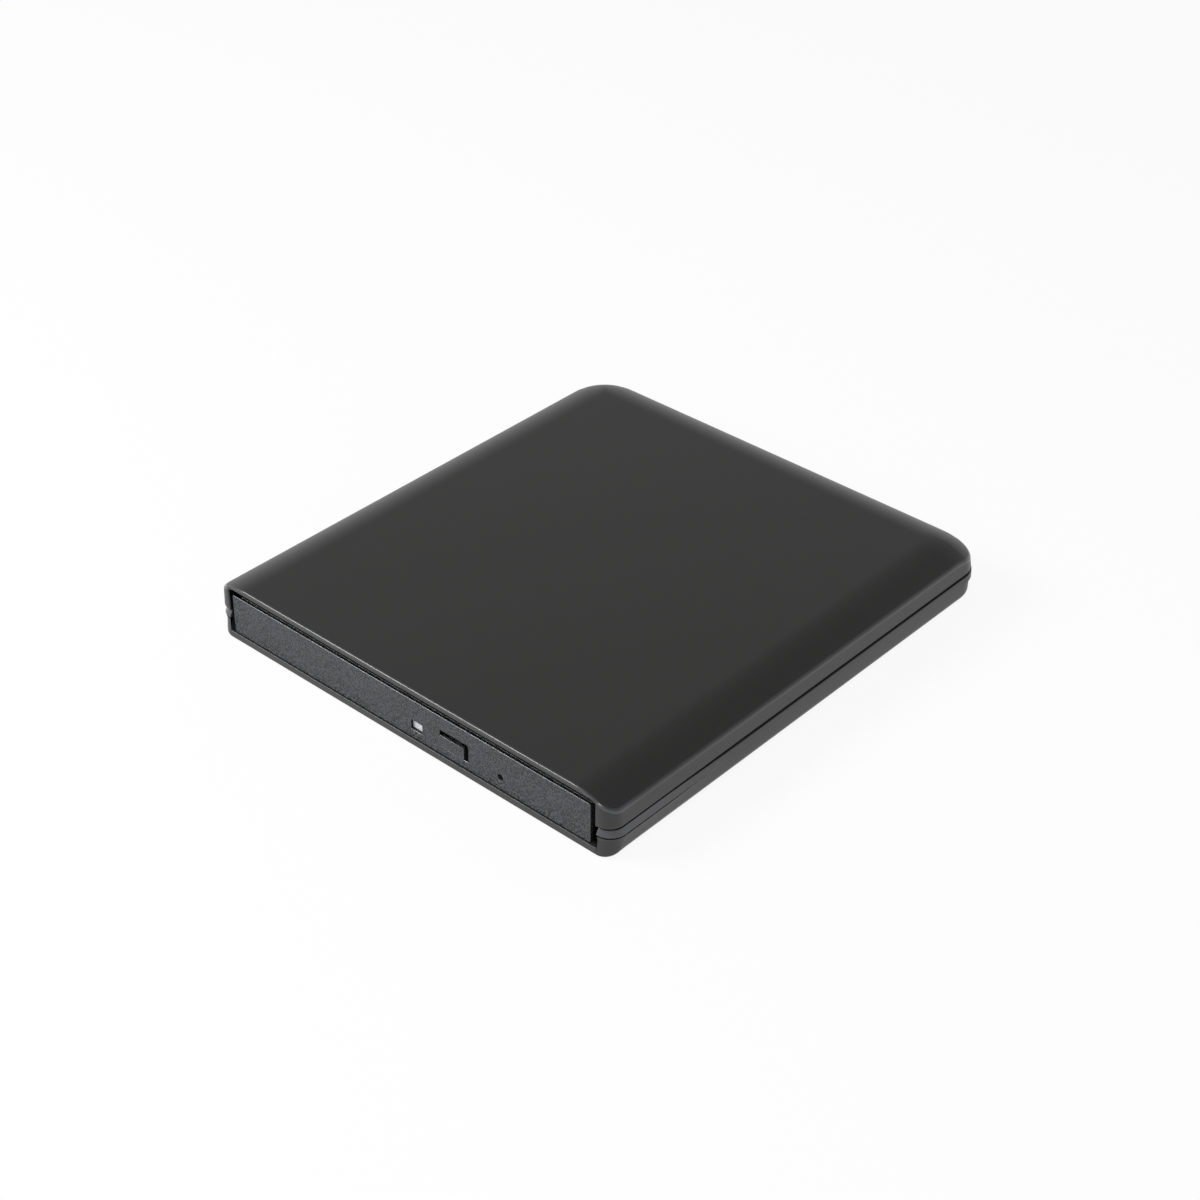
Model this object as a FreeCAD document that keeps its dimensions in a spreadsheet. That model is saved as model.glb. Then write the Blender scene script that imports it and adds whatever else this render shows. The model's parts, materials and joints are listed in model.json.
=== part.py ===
import FreeCAD, Part
import math
import os
import Sketcher
from FreeCAD import Placement, Rotation, Vector

# An external optical disc drive: a two-part moulded case around a slim disc
# mechanism with a drawer on two telescopic rails. Millimetres. X is to the right
# of someone who faces the bezel, Y runs to the back, Z is up. The origin is at
# the middle of the case's plan, on the surface that the rubber feet stand on.

# Driving dimensions: name, millimetres (or a count or degrees), meaning
DRIVING = [
    # Outer case
    ("side_room", 5.85, "creases of the top cover's sides beyond the steel case"),
    ("rear_room", 23.2, "case's back behind the steel case"),
    ("side_bulge", 0.25, "how far the top cover's sides lean out at the parting"),
    ("lower_inset", 0.15, "bottom cover's side inside the top cover's side"),
    ("lip_step", 0.4, "lip of the bottom cover beyond the top cover's side"),
    ("lip_height", 2.3, "height of that lip"),
    ("lid_room", 1.25, "top cover's ceiling above the steel case"),
    ("parting_height", 8.6, "outside of the bottom to the parting line"),
    ("parting_gap", 0.45, "shadow gap at the parting line"),
    ("roll_radius", 20.0, "roll-off at the left, right and back of the top face"),
    ("roll_drop", 3.85, "height lost by the roll-off at the crease"),
    ("roll_corner", 12.3, "plan radius of the roll-off's back corners"),
    ("front_corner", 4.5, "plan radius of the front corners"),
    ("back_corner", 8.0, "plan radius of the back corners"),
    ("cover_wall", 1.8, "wall of both covers"),
    ("floor_wall", 1.5, "floor of the bottom cover"),
    ("under_round", 2.8, "round of the bottom cover's lower edge"),
    ("front_strip", 2.0, "top cover's face above the bezel"),
    ("sill_height", 2.2, "bottom cover's face under the bezel"),
    ("foot_radius", 5.0, "rubber foot"),
    ("foot_proud", 0.6, "foot below the bottom cover"),
    ("foot_sunk", 0.6, "foot in its recess"),
    ("foot_inset_side", 14.0, "foot centre from the crease"),
    ("foot_inset_end", 13.0, "foot centre from the front or back"),
    ("tongue_thick", 0.6, "tongue behind the parting gap"),
    ("tongue_rise", 1.5, "tongue above the parting gap"),
    ("boss_half", 3.2, "screw bosses, half their width"),
    ("boss_below", 1.5, "meeting of the bosses below the parting line"),
    ("cover_screw_radius", 1.1, "cover screw"),
    ("screw_head_radius", 2.2, "cover screw's head"),
    ("screw_depth", 2.4, "seat of the screw's head above the outside of the bottom"),
    ("screw_grip", 6.0, "screw in the top cover's boss"),
    ("screw_play", 0.2, "clearance of the screws"),
    ("foot_play", 0.1, "foot in its recess"),
    ("rib_play", 0.2, "locating ribs beside the steel case"),
    ("cut_past", 1.0, "how far cuts run past a face"),
    ("rib_thick", 1.2, "locating ribs"),
    ("rib_height", 6.0, "locating ribs"),
    ("post_half", 2.0, "posts under the bridge board, half their width"),
    ("post_side", 44.0, "posts from the middle"),
    ("bridge_gap", 2.6, "bridge board behind the steel case"),
    ("bridge_play", 0.5, "bridge board in front of the back wall"),
    ("pad_width", 5.0, "foam strip"),
    ("pad_length", 22.0, "foam strip"),
    ("pad_end", 6.0, "foam strip from the case's end"),
    ("pad_shift", 9.0, "upper foam strip further in"),
    ("lid_panel_edge", 7.0, "border of the lid's pressed panel"),
    ("lid_panel_depth", 0.2, "lid's pressed panel"),
    ("lid_corner", 4.0, "corners of the lid's pressed panel"),
    ("catch_side", 40.0, "catch pin from the middle"),
    ("catch_inset", 8.0, "catch pin in front of the drawer's back edge"),
    ("catch_radius", 0.9, "catch pin"),
    ("catch_height", 0.6, "boss under the catch pin"),
    ("connector_side", -12.0, "drive connector from the middle"),
    ("connector_width", 24.0, "gap in the case for the drive connector"),
    # Slim mechanism
    ("case_setback", 5.0, "front of the steel case behind the covers' front"),
    ("case_lift", 2.05, "steel case above the outside of the bottom cover"),
    ("sheet_metal", 0.6, "steel case sheet"),
    ("top_gap", 1.5, "gap above the bezel"),
    ("sill_play", 0.3, "gap under the bezel"),
    ("bezel_thick", 1.9, "bezel plate"),
    ("bezel_setback", 0.3, "bezel behind the covers' front"),
    ("bezel_gap", 1.0, "gap at each side of the bezel"),
    ("sill_gap", 0.5, "bottom cover's opening beyond the top cover's, at each side"),
    ("bezel_lip", 0.6, "upper edge of the bezel, front to back"),
    ("bezel_rebate", 1.0, "step down behind that edge"),
    ("bezel_round", 0.45, "round of the bezel's edges"),
    # Disc and drawer
    ("disc_radius", 60.0, "standard disc"),
    ("disc_play", 0.75, "recess around the disc"),
    ("recess_front", 0.55, "drawer in front of the disc's recess"),
    ("recess_side", 1.65, "drawer beside the disc's recess"),
    ("recess_rear", 4.15, "drawer behind the disc's recess"),
    ("disc_margin", 1.5, "outermost track inside the disc's edge"),
    ("small_recess", 40.6, "inner step for a small disc, radius"),
    ("tray_play", 1.0, "drawer inside the steel case's walls"),
    ("recess_depth", 2.0, "disc's recess below the drawer's rim"),
    ("lid_play", 0.85, "steel case's lid above the drawer's rim"),
    ("tray_plate", 1.2, "plate under the recess"),
    ("skirt_height", 5.8, "drawer's skirt below its plate"),
    ("tray_wall", 1.6, "drawer's front wall"),
    ("tray_tail", 2.1, "drawer's back edge in front of the steel case's back"),
    # Telescopic rails
    ("rail_half", 2.3, "rail head, middle to edge, upwards"),
    ("rail_head", 0.9, "rail head, thickness"),
    ("rail_web", 1.0, "rail web, thickness"),
    ("rail_drop", 3.6, "rail centre below the drawer's plate"),
    ("rail_inset", 1.2, "rail's outer face inside the steel case's walls"),
    ("rail_width", 4.0, "rail across both heads"),
    ("rail_play", 0.3, "clearance of the sliding rails"),
    ("channel_wall", 0.6, "walls of the channels that hold the rails"),
    # Traverse
    ("traverse_angle", 228.0, "pickup's travel from +X, degrees"),
    ("lens_inner", 24.0, "lens from the spindle at the inner end of its travel"),
    ("shaft_side", 13.0, "guide shaft from the spindle's line"),
    ("shaft_radius", 1.5, "guide shaft"),
    ("shaft_drop", 2.0, "guide shaft's centre below the traverse chassis"),
    ("chassis_play", 0.3, "traverse chassis below the drawer's plate"),
    ("chassis_thick", 1.0, "traverse chassis"),
    ("rotor_radius", 10.5, "spindle rotor"),
    ("hub_radius", 7.4, "turntable hub, fits a standard disc's hole"),
    ("spindle_radius", 1.5, "spindle shaft"),
    ("running_play", 0.05, "radial play of turning shafts"),
    ("screw_radius", 1.4, "feed screw"),
    ("screw_side", 17.2, "feed screw from the spindle's line"),
    ("screw_drop", 2.6, "feed screw's centre below the traverse chassis"),
    ("focus_travel", 0.4, "lens focus, up or down"),
    # Small parts of the mechanism
    ("fit_gap", 0.3, "clearance between neighbours"),
    ("connector_height", 4.0, "drive connector"),
    ("connector_depth", 6.5, "drive connector inside the case"),
    ("connector_out", 1.0, "drive connector behind the case"),
    ("small_depth", 0.5, "depth of the small disc's step"),
    ("cover_plate", 0.4, "traverse cover sheet"),
    ("cover_half", 14.0, "traverse cover, middle to side"),
    ("cover_slot_half", 7.5, "slot over the lens, half its width"),
    ("cover_ring", 17.5, "traverse cover around the turntable"),
    ("flange_radius", 15.0, "turntable"),
    ("flange_thick", 1.0, "turntable"),
    ("friction_inner", 9.0, "friction ring"),
    ("friction_outer", 14.0, "friction ring"),
    ("friction_thick", 0.3, "friction ring"),
    ("hub_height", 2.0, "hub above the turntable"),
    ("hub_bevel", 0.6, "lead-in of the hub"),
    ("claw_count", 3, "claws in the hub"),
    ("claw_half", 1.2, "claw, half its width"),
    ("claw_root", 4.9, "claw's inner end from the axis"),
    ("claw_proud", 0.1, "claw beyond the hub"),
    ("claw_travel", 0.4, "claw, inwards"),
    ("stator_radius", 9.2, "stator"),
    ("stator_slots", 9, "stator poles"),
    ("pole_root", 1.0, "stator's ring inside the poles"),
    ("bearing_radius", 3.2, "spindle bearing"),
    ("pickup_half", 10.5, "pickup body, half its width"),
    ("pickup_behind", 14.0, "pickup body inside the lens"),
    ("pickup_ahead", 4.5, "pickup body outside the lens"),
    ("pickup_play", 0.8, "pickup body above the shield plate"),
    ("pickup_thick", 5.2, "pickup body"),
    ("cover_play", 0.8, "traverse cover above the pickup body"),
    ("bearing_arm", 15.2, "pickup's bearing arms, half their width"),
    ("lens_radius", 2.2, "objective lens"),
    ("damper_radius", 3.0, "rubber damper's flange, half its width"),
    ("damper_waist", 2.2, "rubber damper in the chassis, half its width"),
    ("damper_behind", 17.0, "rear dampers behind the spindle, along the travel"),
    ("damper_behind_right", 16.5, "right one of them, across the travel"),
    ("damper_behind_left", 12.5, "left one of them, across the travel"),
    ("damper_left_short", 19.3, "front left damper short of the pickup's window's end"),
    ("damper_left_aside", 19.0, "front left damper, across the travel"),
    ("damper_right_short", 13.3, "front right damper short of the pickup's window's end"),
    ("damper_right_aside", 22.4, "front right damper, across the travel"),
    ("shield_play", 0.65, "shield plate above the steel case's floor"),
    ("shield_thick", 0.3, "shield plate"),
    ("shield_gap", 4.0, "shield plate's back edge in front of the main board"),
    ("motor_radius", 2.4, "feed motor"),
    ("journal_radius", 0.8, "ends of the feed screw"),
    ("latch_release", 14.0, "latch hook's swing, degrees"),
    ("latch_reach", 4.0, "catch pin beside the latch pivot"),
    ("ejector_side", 29.9, "ejector from the middle"),
    ("latch_back", 9.25, "catch pin behind the latch pivot"),
    # Bezel features
    ("led_left", 3.4, "light window's left edge from the middle"),
    ("led_width", 4.1, "light window"),
    ("led_low", 6.1, "light window's lower edge above the bottom cover's outside"),
    ("led_height", 2.2, "light window"),
    ("button_left", 13.1, "eject button's left edge from the middle"),
    ("button_width", 9.3, "eject button"),
    ("button_low", 4.9, "button's lower edge above the bottom cover's outside"),
    ("button_height", 3.6, "eject button"),
    ("button_gap", 0.3, "gap left of and under the button"),
    ("button_wide_gap", 1.4, "gap right of and above the button"),
    ("button_travel", 0.8, "eject button"),
    ("pinhole_side", 34.0, "emergency eject hole from the middle"),
    ("pinhole_up", 6.1, "emergency eject hole above the bottom cover's outside"),
    ("pinhole_radius", 0.75, "emergency eject hole"),
    # Back of the case
    ("board_thick", 1.0, "circuit boards"),
    ("main_board_depth", 31.05, "main board, front to back"),
    ("main_chip", 9.0, "middle one of the main board's chips, square"),
    ("main_chip_step", 2.7, "difference between the main board's chips"),
    ("chip_height", 0.7, "chips above their boards"),
    ("chip_inset", 4.0, "chips behind the boards' front edges"),
    ("bridge_chip", 7.0, "bridge board's chips, square"),
    ("ribbon_width", 18.0, "flat cable"),
    ("ribbon_reach", 40.0, "flat cable in front of the main board"),
    ("ribbon_left", 6.0, "flat cable's left edge from the middle"),
    ("bridge_lift", 1.3, "bridge board above the bottom cover's floor"),
    ("socket_width", 8.94, "plug socket shell"),
    ("socket_height", 3.26, "plug socket shell"),
    ("socket_depth", 7.4, "plug socket shell"),
    ("socket_wall", 0.3, "plug socket shell"),
    ("socket_side", -30.0, "plug socket from the middle"),
    ("port_play", 0.6, "cut-out around the plug socket"),
]


class Size:
    """A length that knows its value and the sheet formula that gives it."""

    def __init__(self, value, text):
        self.value = float(value)
        self.text = text

    def __add__(self, other):
        other = size(other)
        return Size(self.value + other.value, f"({self.text} + {other.text})")

    def __radd__(self, other):
        return size(other) + self

    def __sub__(self, other):
        other = size(other)
        return Size(self.value - other.value, f"({self.text} - {other.text})")

    def __rsub__(self, other):
        return size(other) - self

    def __mul__(self, factor):
        factor = size(factor)
        return Size(self.value * factor.value, f"({self.text} * {factor.text})")

    __rmul__ = __mul__

    def __truediv__(self, divisor):
        divisor = size(divisor)
        return Size(self.value / divisor.value, f"({self.text} / {divisor.text})")

    def __neg__(self):
        return Size(-self.value, f"(-{self.text})")

    def __float__(self):
        return self.value


def size(number):
    """A Size, made from a Size or a plain number."""
    if isinstance(number, Size):
        return number
    return Size(number, f"{number:.4f}" if number >= 0 else f"({number:.4f})")


doc = FreeCAD.newDocument("disc_drive")
sheet = doc.addObject("Spreadsheet::Sheet", "sizes")


class Driving:
    """Gives each driving dimension as a Size under its own name."""


dim = Driving()
for row, (alias, value, meaning) in enumerate(DRIVING, start=1):
    sheet.set(f"A{row}", meaning)
    sheet.set(f"B{row}", str(value))
    sheet.setAlias(f"B{row}", alias)
doc.recompute()
for alias, value, meaning in DRIVING:
    setattr(dim, alias, Size(float(getattr(sheet, alias)), f"sizes.{alias}"))


worked_out = []


def work_out(alias, amount, meaning):
    """A length that the sheet works out and keeps under its own name."""
    worked_out.append(alias)
    cell = len(DRIVING) + len(worked_out)
    sheet.set(f"A{cell}", meaning)
    sheet.set(f"B{cell}", "=" + amount.text.replace("sizes.", ""))
    sheet.setAlias(f"B{cell}", alias)
    return Size(amount.value, f"sizes.{alias}")


# Shared places, worked out from the driving dimensions: the disc sets the drawer,
# the drawer sets the steel case and the steel case sets the outer case
recess_radius = work_out("recess_radius", dim.disc_radius + dim.disc_play, "disc's recess")
tray_half = work_out("tray_half", recess_radius + dim.recess_side, "drawer, middle to side")
case_half = work_out("case_half", tray_half + dim.tray_play + dim.sheet_metal, "steel case, middle to side")
crease_half = work_out("crease_half", case_half + dim.side_room, "crease from the middle")
disc_setback = work_out("disc_setback", dim.bezel_thick + dim.recess_front + recess_radius,
                        "spindle behind the bezel's front")
tail_metal = dim.tray_tail + dim.sheet_metal
behind_spindle = work_out("behind_spindle", recess_radius + dim.recess_rear + tail_metal,
                          "steel case behind the spindle")
body_depth = work_out("body_depth", dim.bezel_setback + disc_setback + behind_spindle + dim.rear_room,
                      "outer case, front to back")
front = -body_depth / 2
back = body_depth / 2
shell_low = dim.foot_proud
parting = shell_low + dim.parting_height
side_half = crease_half + dim.side_bulge
lip_half = side_half + dim.lip_step
foot_x = crease_half - dim.foot_inset_side
foot_y = back - dim.foot_inset_end
case_front = front + dim.case_setback
case_back = back - dim.rear_room
bezel_front = front + dim.bezel_setback
bezel_back = bezel_front + dim.bezel_thick
spindle_y = work_out("spindle_y", bezel_front + disc_setback, "spindle behind the middle")
tray_front = bezel_back
tray_back = case_back - dim.sheet_metal - dim.tray_tail

# Levels, stacked from the bottom cover up to the top face
case_low = shell_low + dim.case_lift
floor_top = work_out("floor_top", case_low + dim.sheet_metal, "steel case's floor, upper face")
shield_level = floor_top + dim.shield_play
pickup_low = work_out("pickup_low", shield_level + dim.shield_thick + dim.pickup_play,
                      "pickup body, underside")
pickup_high = work_out("pickup_high", pickup_low + dim.pickup_thick, "pickup body, upper face")
cover_low = pickup_high + dim.cover_play
cover_top = work_out("cover_top", cover_low + dim.cover_plate, "traverse cover, upper face")
recess_floor = work_out("recess_floor", cover_top + dim.small_depth, "floor of the disc's recess")
plate_low = work_out("plate_low", recess_floor - dim.tray_plate, "drawer's plate, underside")
tray_top = work_out("tray_top", recess_floor + dim.recess_depth, "drawer's rim")
tray_skirt = plate_low - dim.skirt_height
rail_level = work_out("rail_level", plate_low - dim.rail_drop, "rails' centre")
chassis_top = work_out("chassis_top", plate_low - dim.chassis_play, "traverse chassis, upper face")
chassis_level = work_out("chassis_level", chassis_top - dim.chassis_thick, "traverse chassis, underside")
shaft_level = chassis_level - dim.shaft_drop
screw_level = chassis_level - dim.screw_drop
case_top = work_out("case_top", tray_top + dim.lid_play + dim.sheet_metal, "steel case, upper face")
shell_top = work_out("shell_top", case_top + dim.lid_room + dim.cover_wall, "top face of the top cover")
crease_level = shell_top - dim.roll_drop
bezel_low = shell_low + dim.sill_height + dim.sill_play
bezel_top = shell_top - dim.front_strip - dim.top_gap
bridge_level = shell_low + dim.floor_wall + dim.bridge_lift

parts = []


def bind(thing, prop, amount):
    """Set a property and tie it to the sheet."""
    thing.setExpression(prop, size(amount).text)


def put(thing, x, y, z):
    """Tie an object's place to the sheet."""
    for letter, amount in zip("xyz", (x, y, z)):
        bind(thing, f".Placement.Base.{letter}", amount)


def keep(thing, label):
    """Name an object as one of the pieces that are written out."""
    thing.Label = label
    parts.append(thing)
    return thing


def box(name, low, high):
    """A block between two corners."""
    thing = doc.addObject("Part::Box", name)
    for prop, start, end in zip(("Length", "Width", "Height"), low, high):
        bind(thing, prop, size(end) - start)
    put(thing, *low)
    return thing


TURNS = {
    "z": Rotation(Vector(0, 0, 1), 0),
    "x": Rotation(Vector(0, 1, 0), 90),
    "y": Rotation(Vector(1, 0, 0), -90),
}


def rod(name, radius, start, end, at, axis="z"):
    """A cylinder along an axis from start to end; at holds the other two places."""
    thing = doc.addObject("Part::Cylinder", name)
    bind(thing, "Radius", radius)
    bind(thing, "Height", size(end) - start)
    thing.Placement = Placement(Vector(), TURNS[axis])
    x, y, z = {
        "z": (at[0], at[1], start),
        "x": (start, at[0], at[1]),
        "y": (at[0], start, at[1]),
    }[axis]
    put(thing, x, y, z)
    return thing


def join(name, things):
    """One solid from several that touch."""
    thing = doc.addObject("Part::MultiFuse", name)
    thing.Shapes = things
    thing.Refine = True
    return thing


def group(name, things):
    """Several separate solids under one name."""
    thing = doc.addObject("Part::Compound", name)
    thing.Links = things
    return thing


def cut(name, base, tools):
    """A solid with others taken away from it."""
    thing = doc.addObject("Part::Cut", name)
    thing.Base = base
    thing.Tool = tools[0] if len(tools) == 1 else join(name + "_tools", tools)
    return thing


def written_shape(name, shape):
    """A piece whose shape comes from code that reads the sheet."""
    thing = doc.addObject("Part::Feature", name)
    thing.Shape = shape
    return thing


# Sketch-based bodies

def new_body(name):
    """An empty body."""
    return doc.addObject("PartDesign::Body", name)


def new_sketch(body, plane, level, name):
    """A sketch on one of the body's own planes, shifted along its normal."""
    sketch = body.newObject("Sketcher::SketchObject", name)
    origin = next(o for o in body.Origin.OriginFeatures if o.Role == plane)
    sketch.AttachmentSupport = [(origin, "")]
    sketch.MapMode = "FlatFace"
    bind(sketch, "AttachmentOffset.Base.z", level)
    return sketch


def pin_point(sketch, line, end, x, y, label):
    """Dimension one point of a sketch from the sketch's origin."""
    for kind, amount, letter in (("DistanceX", x, "x"), ("DistanceY", y, "y")):
        amount = size(amount)
        where = sketch.addConstraint(Sketcher.Constraint(kind, line, end, amount.value))
        sketch.renameConstraint(where, f"{label}_{letter}")
        sketch.setExpression(f"Constraints.{label}_{letter}", amount.text)


def draw_outline(sketch, corners, label="corner"):
    """Straight lines through the corners, closed, each corner dimensioned."""
    points = [Vector(float(size(x)), float(size(y)), 0) for x, y in corners]
    count = len(points)
    first = len(sketch.Geometry)
    for i in range(count):
        sketch.addGeometry(Part.LineSegment(points[i], points[(i + 1) % count]), False)
    for i in range(count):
        after = first + (i + 1) % count
        sketch.addConstraint(Sketcher.Constraint("Coincident", first + i, 2, after, 1))
    for i, (x, y) in enumerate(corners):
        pin_point(sketch, first + i, 1, x, y, f"{label}{i}")


def draw_circle(sketch, x, y, radius, label="ring"):
    """A circle, its centre and radius dimensioned."""
    radius = size(radius)
    where = sketch.addGeometry(
        Part.Circle(Vector(float(size(x)), float(size(y)), 0), Vector(0, 0, 1), radius.value), False)
    pin_point(sketch, where, 3, x, y, label)
    number = sketch.addConstraint(Sketcher.Constraint("Radius", where, radius.value))
    sketch.renameConstraint(number, f"{label}_r")
    sketch.setExpression(f"Constraints.{label}_r", radius.text)


def rectangle(x0, y0, x1, y1):
    """The four corners of a rectangle."""
    return [(x0, y0), (x1, y0), (x1, y1), (x0, y1)]


def level_of(plane, low, high, add):
    """Where a sketch goes so that a pad or a pocket fills low to high."""
    if plane == "XZ_Plane":
        low, high = -size(high), -size(low)
    return low if add else high


def extrude(body, kind, plane, low, high, outlines=(), circles=()):
    """Add or take away a prism between two levels along the plane's axis."""
    add = kind == "Pad"
    count = len(body.Group)
    sketch = new_sketch(body, plane, level_of(plane, low, high, add), f"{body.Name}_drawing{count}")
    for i, corners in enumerate(outlines):
        draw_outline(sketch, corners, f"line{i}c")
    for i, (x, y, radius) in enumerate(circles):
        draw_circle(sketch, x, y, radius, f"ring{i}")
    feature = body.newObject(f"PartDesign::{kind}", f"{body.Name}_{kind.lower()}{count}")
    feature.Profile = sketch
    bind(feature, "Length", size(high) - low)
    body.Tip = feature
    return feature


def turned(name, corners, x, y):
    """A body of revolution about a vertical line; corners are (radius, level)."""
    body = new_body(name)
    sketch = new_sketch(body, "XZ_Plane", 0, name + "_drawing")
    draw_outline(sketch, corners)
    feature = body.newObject("PartDesign::Revolution", name + "_turn")
    feature.Profile = sketch
    feature.ReferenceAxis = (sketch, ["V_Axis"])
    feature.Angle = 360
    body.Tip = feature
    put(body, x, y, 0)
    return body


def edges_where(shape, test):
    """Names of the edges whose middle passes a test."""
    names = []
    for i, edge in enumerate(shape.Edges, start=1):
        middle = edge.valueAt((edge.FirstParameter + edge.LastParameter) / 2)
        if test(edge, middle):
            names.append(f"Edge{i}")
    return names


def round_edges(body, radius, test):
    """Round the edges of a body that pass a test."""
    doc.recompute()
    base = body.Tip
    feature = body.newObject("PartDesign::Fillet", body.Name + "_round")
    feature.Base = (base, edges_where(base.Shape, test))
    bind(feature, "Radius", radius)
    body.Tip = feature
    return feature


# Case mouldings

def plan_wire(half, y0, y1, front_r, back_r, z, straight=False):
    """A rectangle in plan with round, or straight, corners of one size at the front and one at the back."""
    corners = [(half, y0, front_r), (half, y1, back_r), (-half, y1, back_r), (-half, y0, front_r)]
    turns = [(-90, 0), (0, 90), (90, 180), (180, 270)]
    edges = []
    last = None
    for (x, y, radius), (start, end) in zip(corners, turns):
        middle = Vector(x - math.copysign(radius, x), y + (radius if y == y0 else -radius), z)
        points = []
        for degrees in (start, (start + end) / 2, end):
            angle = math.radians(degrees)
            points.append(middle + Vector(math.cos(angle), math.sin(angle), 0) * radius)
        if last is not None:
            edges.append(Part.LineSegment(last, points[0]).toShape())
        corner = Part.LineSegment(points[0], points[2]) if straight else Part.Arc(*points)
        edges.append(corner.toShape())
        last = points[2]
    edges.append(Part.LineSegment(last, edges[0].Vertexes[0].Point).toShape())
    return Part.Wire(Part.__sortEdges__(edges))


def leaning_plan(low_half, high_half, low_back, high_back, low, high, front_r, back_r, face_y):
    """A block whose sides and back lean, with an upright front."""
    wires = [
        plan_wire(low_half, face_y, low_back, front_r, back_r, low),
        plan_wire(high_half, face_y, high_back, front_r, back_r, high),
    ]
    return Part.makeLoft(wires, True, True)


def rolled_block(half, end_y, corner, low, high, radius):
    """A block that runs out past the front, with a rounded upper rim on its other sides."""
    start_y = float(front) - 2 * radius
    block = Part.makeBox(2 * half, end_y - start_y, high - low, Vector(-half, start_y, low))
    upright = []
    for edge in block.Edges:
        middle = edge.CenterOfMass
        if abs(middle.z - (low + high) / 2) < 1e-6 and middle.y > 0:
            upright.append(edge)
    block = block.makeFillet(corner, upright)
    rim = []
    for edge in block.Edges:
        box_of = edge.BoundBox
        if abs(box_of.ZMin - high) < 1e-6 and abs(box_of.ZMax - high) < 1e-6 and box_of.YMax > start_y + 1:
            rim.append(edge)
    return block.makeFillet(radius, rim)


def sloped_block(steps):
    """A block that runs out past the front; its sides and back go in straight slopes."""
    front_y = float(front) - float(dim.roll_radius)
    front_r = float(dim.front_corner)
    wires = [plan_wire(half, front_y, end_y, front_r, corner, level) for half, end_y, corner, level in steps]
    return Part.makeLoft(wires, True, True)


def make_top_cover():
    """Top shell: rolled off at the left, right and back, crisp at the front."""
    low = float(parting + dim.parting_gap)
    top = float(shell_top)
    wall = float(dim.cover_wall)
    radius = float(dim.roll_radius)
    reach = radius - math.sqrt(radius ** 2 - (radius - float(dim.roll_drop)) ** 2)
    back_crease = float(back - dim.side_bulge - dim.lip_step)
    lean = float(dim.side_bulge) * (top - low) / (float(crease_level) - low)
    front_r = float(dim.front_corner)
    back_r = float(dim.back_corner)

    side = float(side_half)
    rear = back_crease + float(dim.side_bulge)
    plan = leaning_plan(side, side - lean, rear, rear - lean, low, top, front_r, back_r, float(front))
    outside = plan.common(rolled_block(float(crease_half) + reach, back_crease + reach,
                                       float(dim.roll_corner) + reach, top - 2 * radius, top, radius))
    run = radius - reach
    inner_radius = radius - wall
    steps = []
    for distance in (1.05 * run, 0.55 * run, 0.0):
        drop = inner_radius - math.sqrt(inner_radius ** 2 - distance ** 2)
        steps.append((float(crease_half) - run + distance, back_crease - run + distance,
                      float(dim.roll_corner) - run + distance, top - wall - drop))
    steps.insert(0, steps[0][:3] + (low - wall,))
    room = plan_wire(side - wall, float(front) + wall, rear - wall, front_r - wall, back_r - wall, low, True)
    inside = Part.Face(room).extrude(Vector(0, 0, top)).common(sloped_block(steps))
    cover = outside.cut(inside)
    opening_half = float(case_half + dim.bezel_gap)
    opening_top = float(shell_top - dim.front_strip)
    past = float(dim.cut_past)
    cover = cover.cut(Part.makeBox(2 * opening_half, 2 * wall + past, opening_top,
                                   Vector(-opening_half, float(front) - past, 0)))
    extras = []
    for side in (-1, 1):
        half = float(dim.boss_half)
        boss = Part.makeBox(2 * half, 2 * half, top - wall - float(boss_split),
                            Vector(side * float(foot_x) - half, float(foot_y) - half, float(boss_split)))
        extras.append(boss)
    cover = cover.fuse(extras)
    for side in (-1, 1):
        bore = Part.makeCylinder(float(dim.cover_screw_radius), float(dim.screw_grip) + past,
                                 Vector(side * float(foot_x), float(foot_y), float(boss_split) - past))
        cover = cover.cut(bore)
    return keep(written_shape("top_cover_shape", cover.removeSplitter()), "top_cover")


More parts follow.
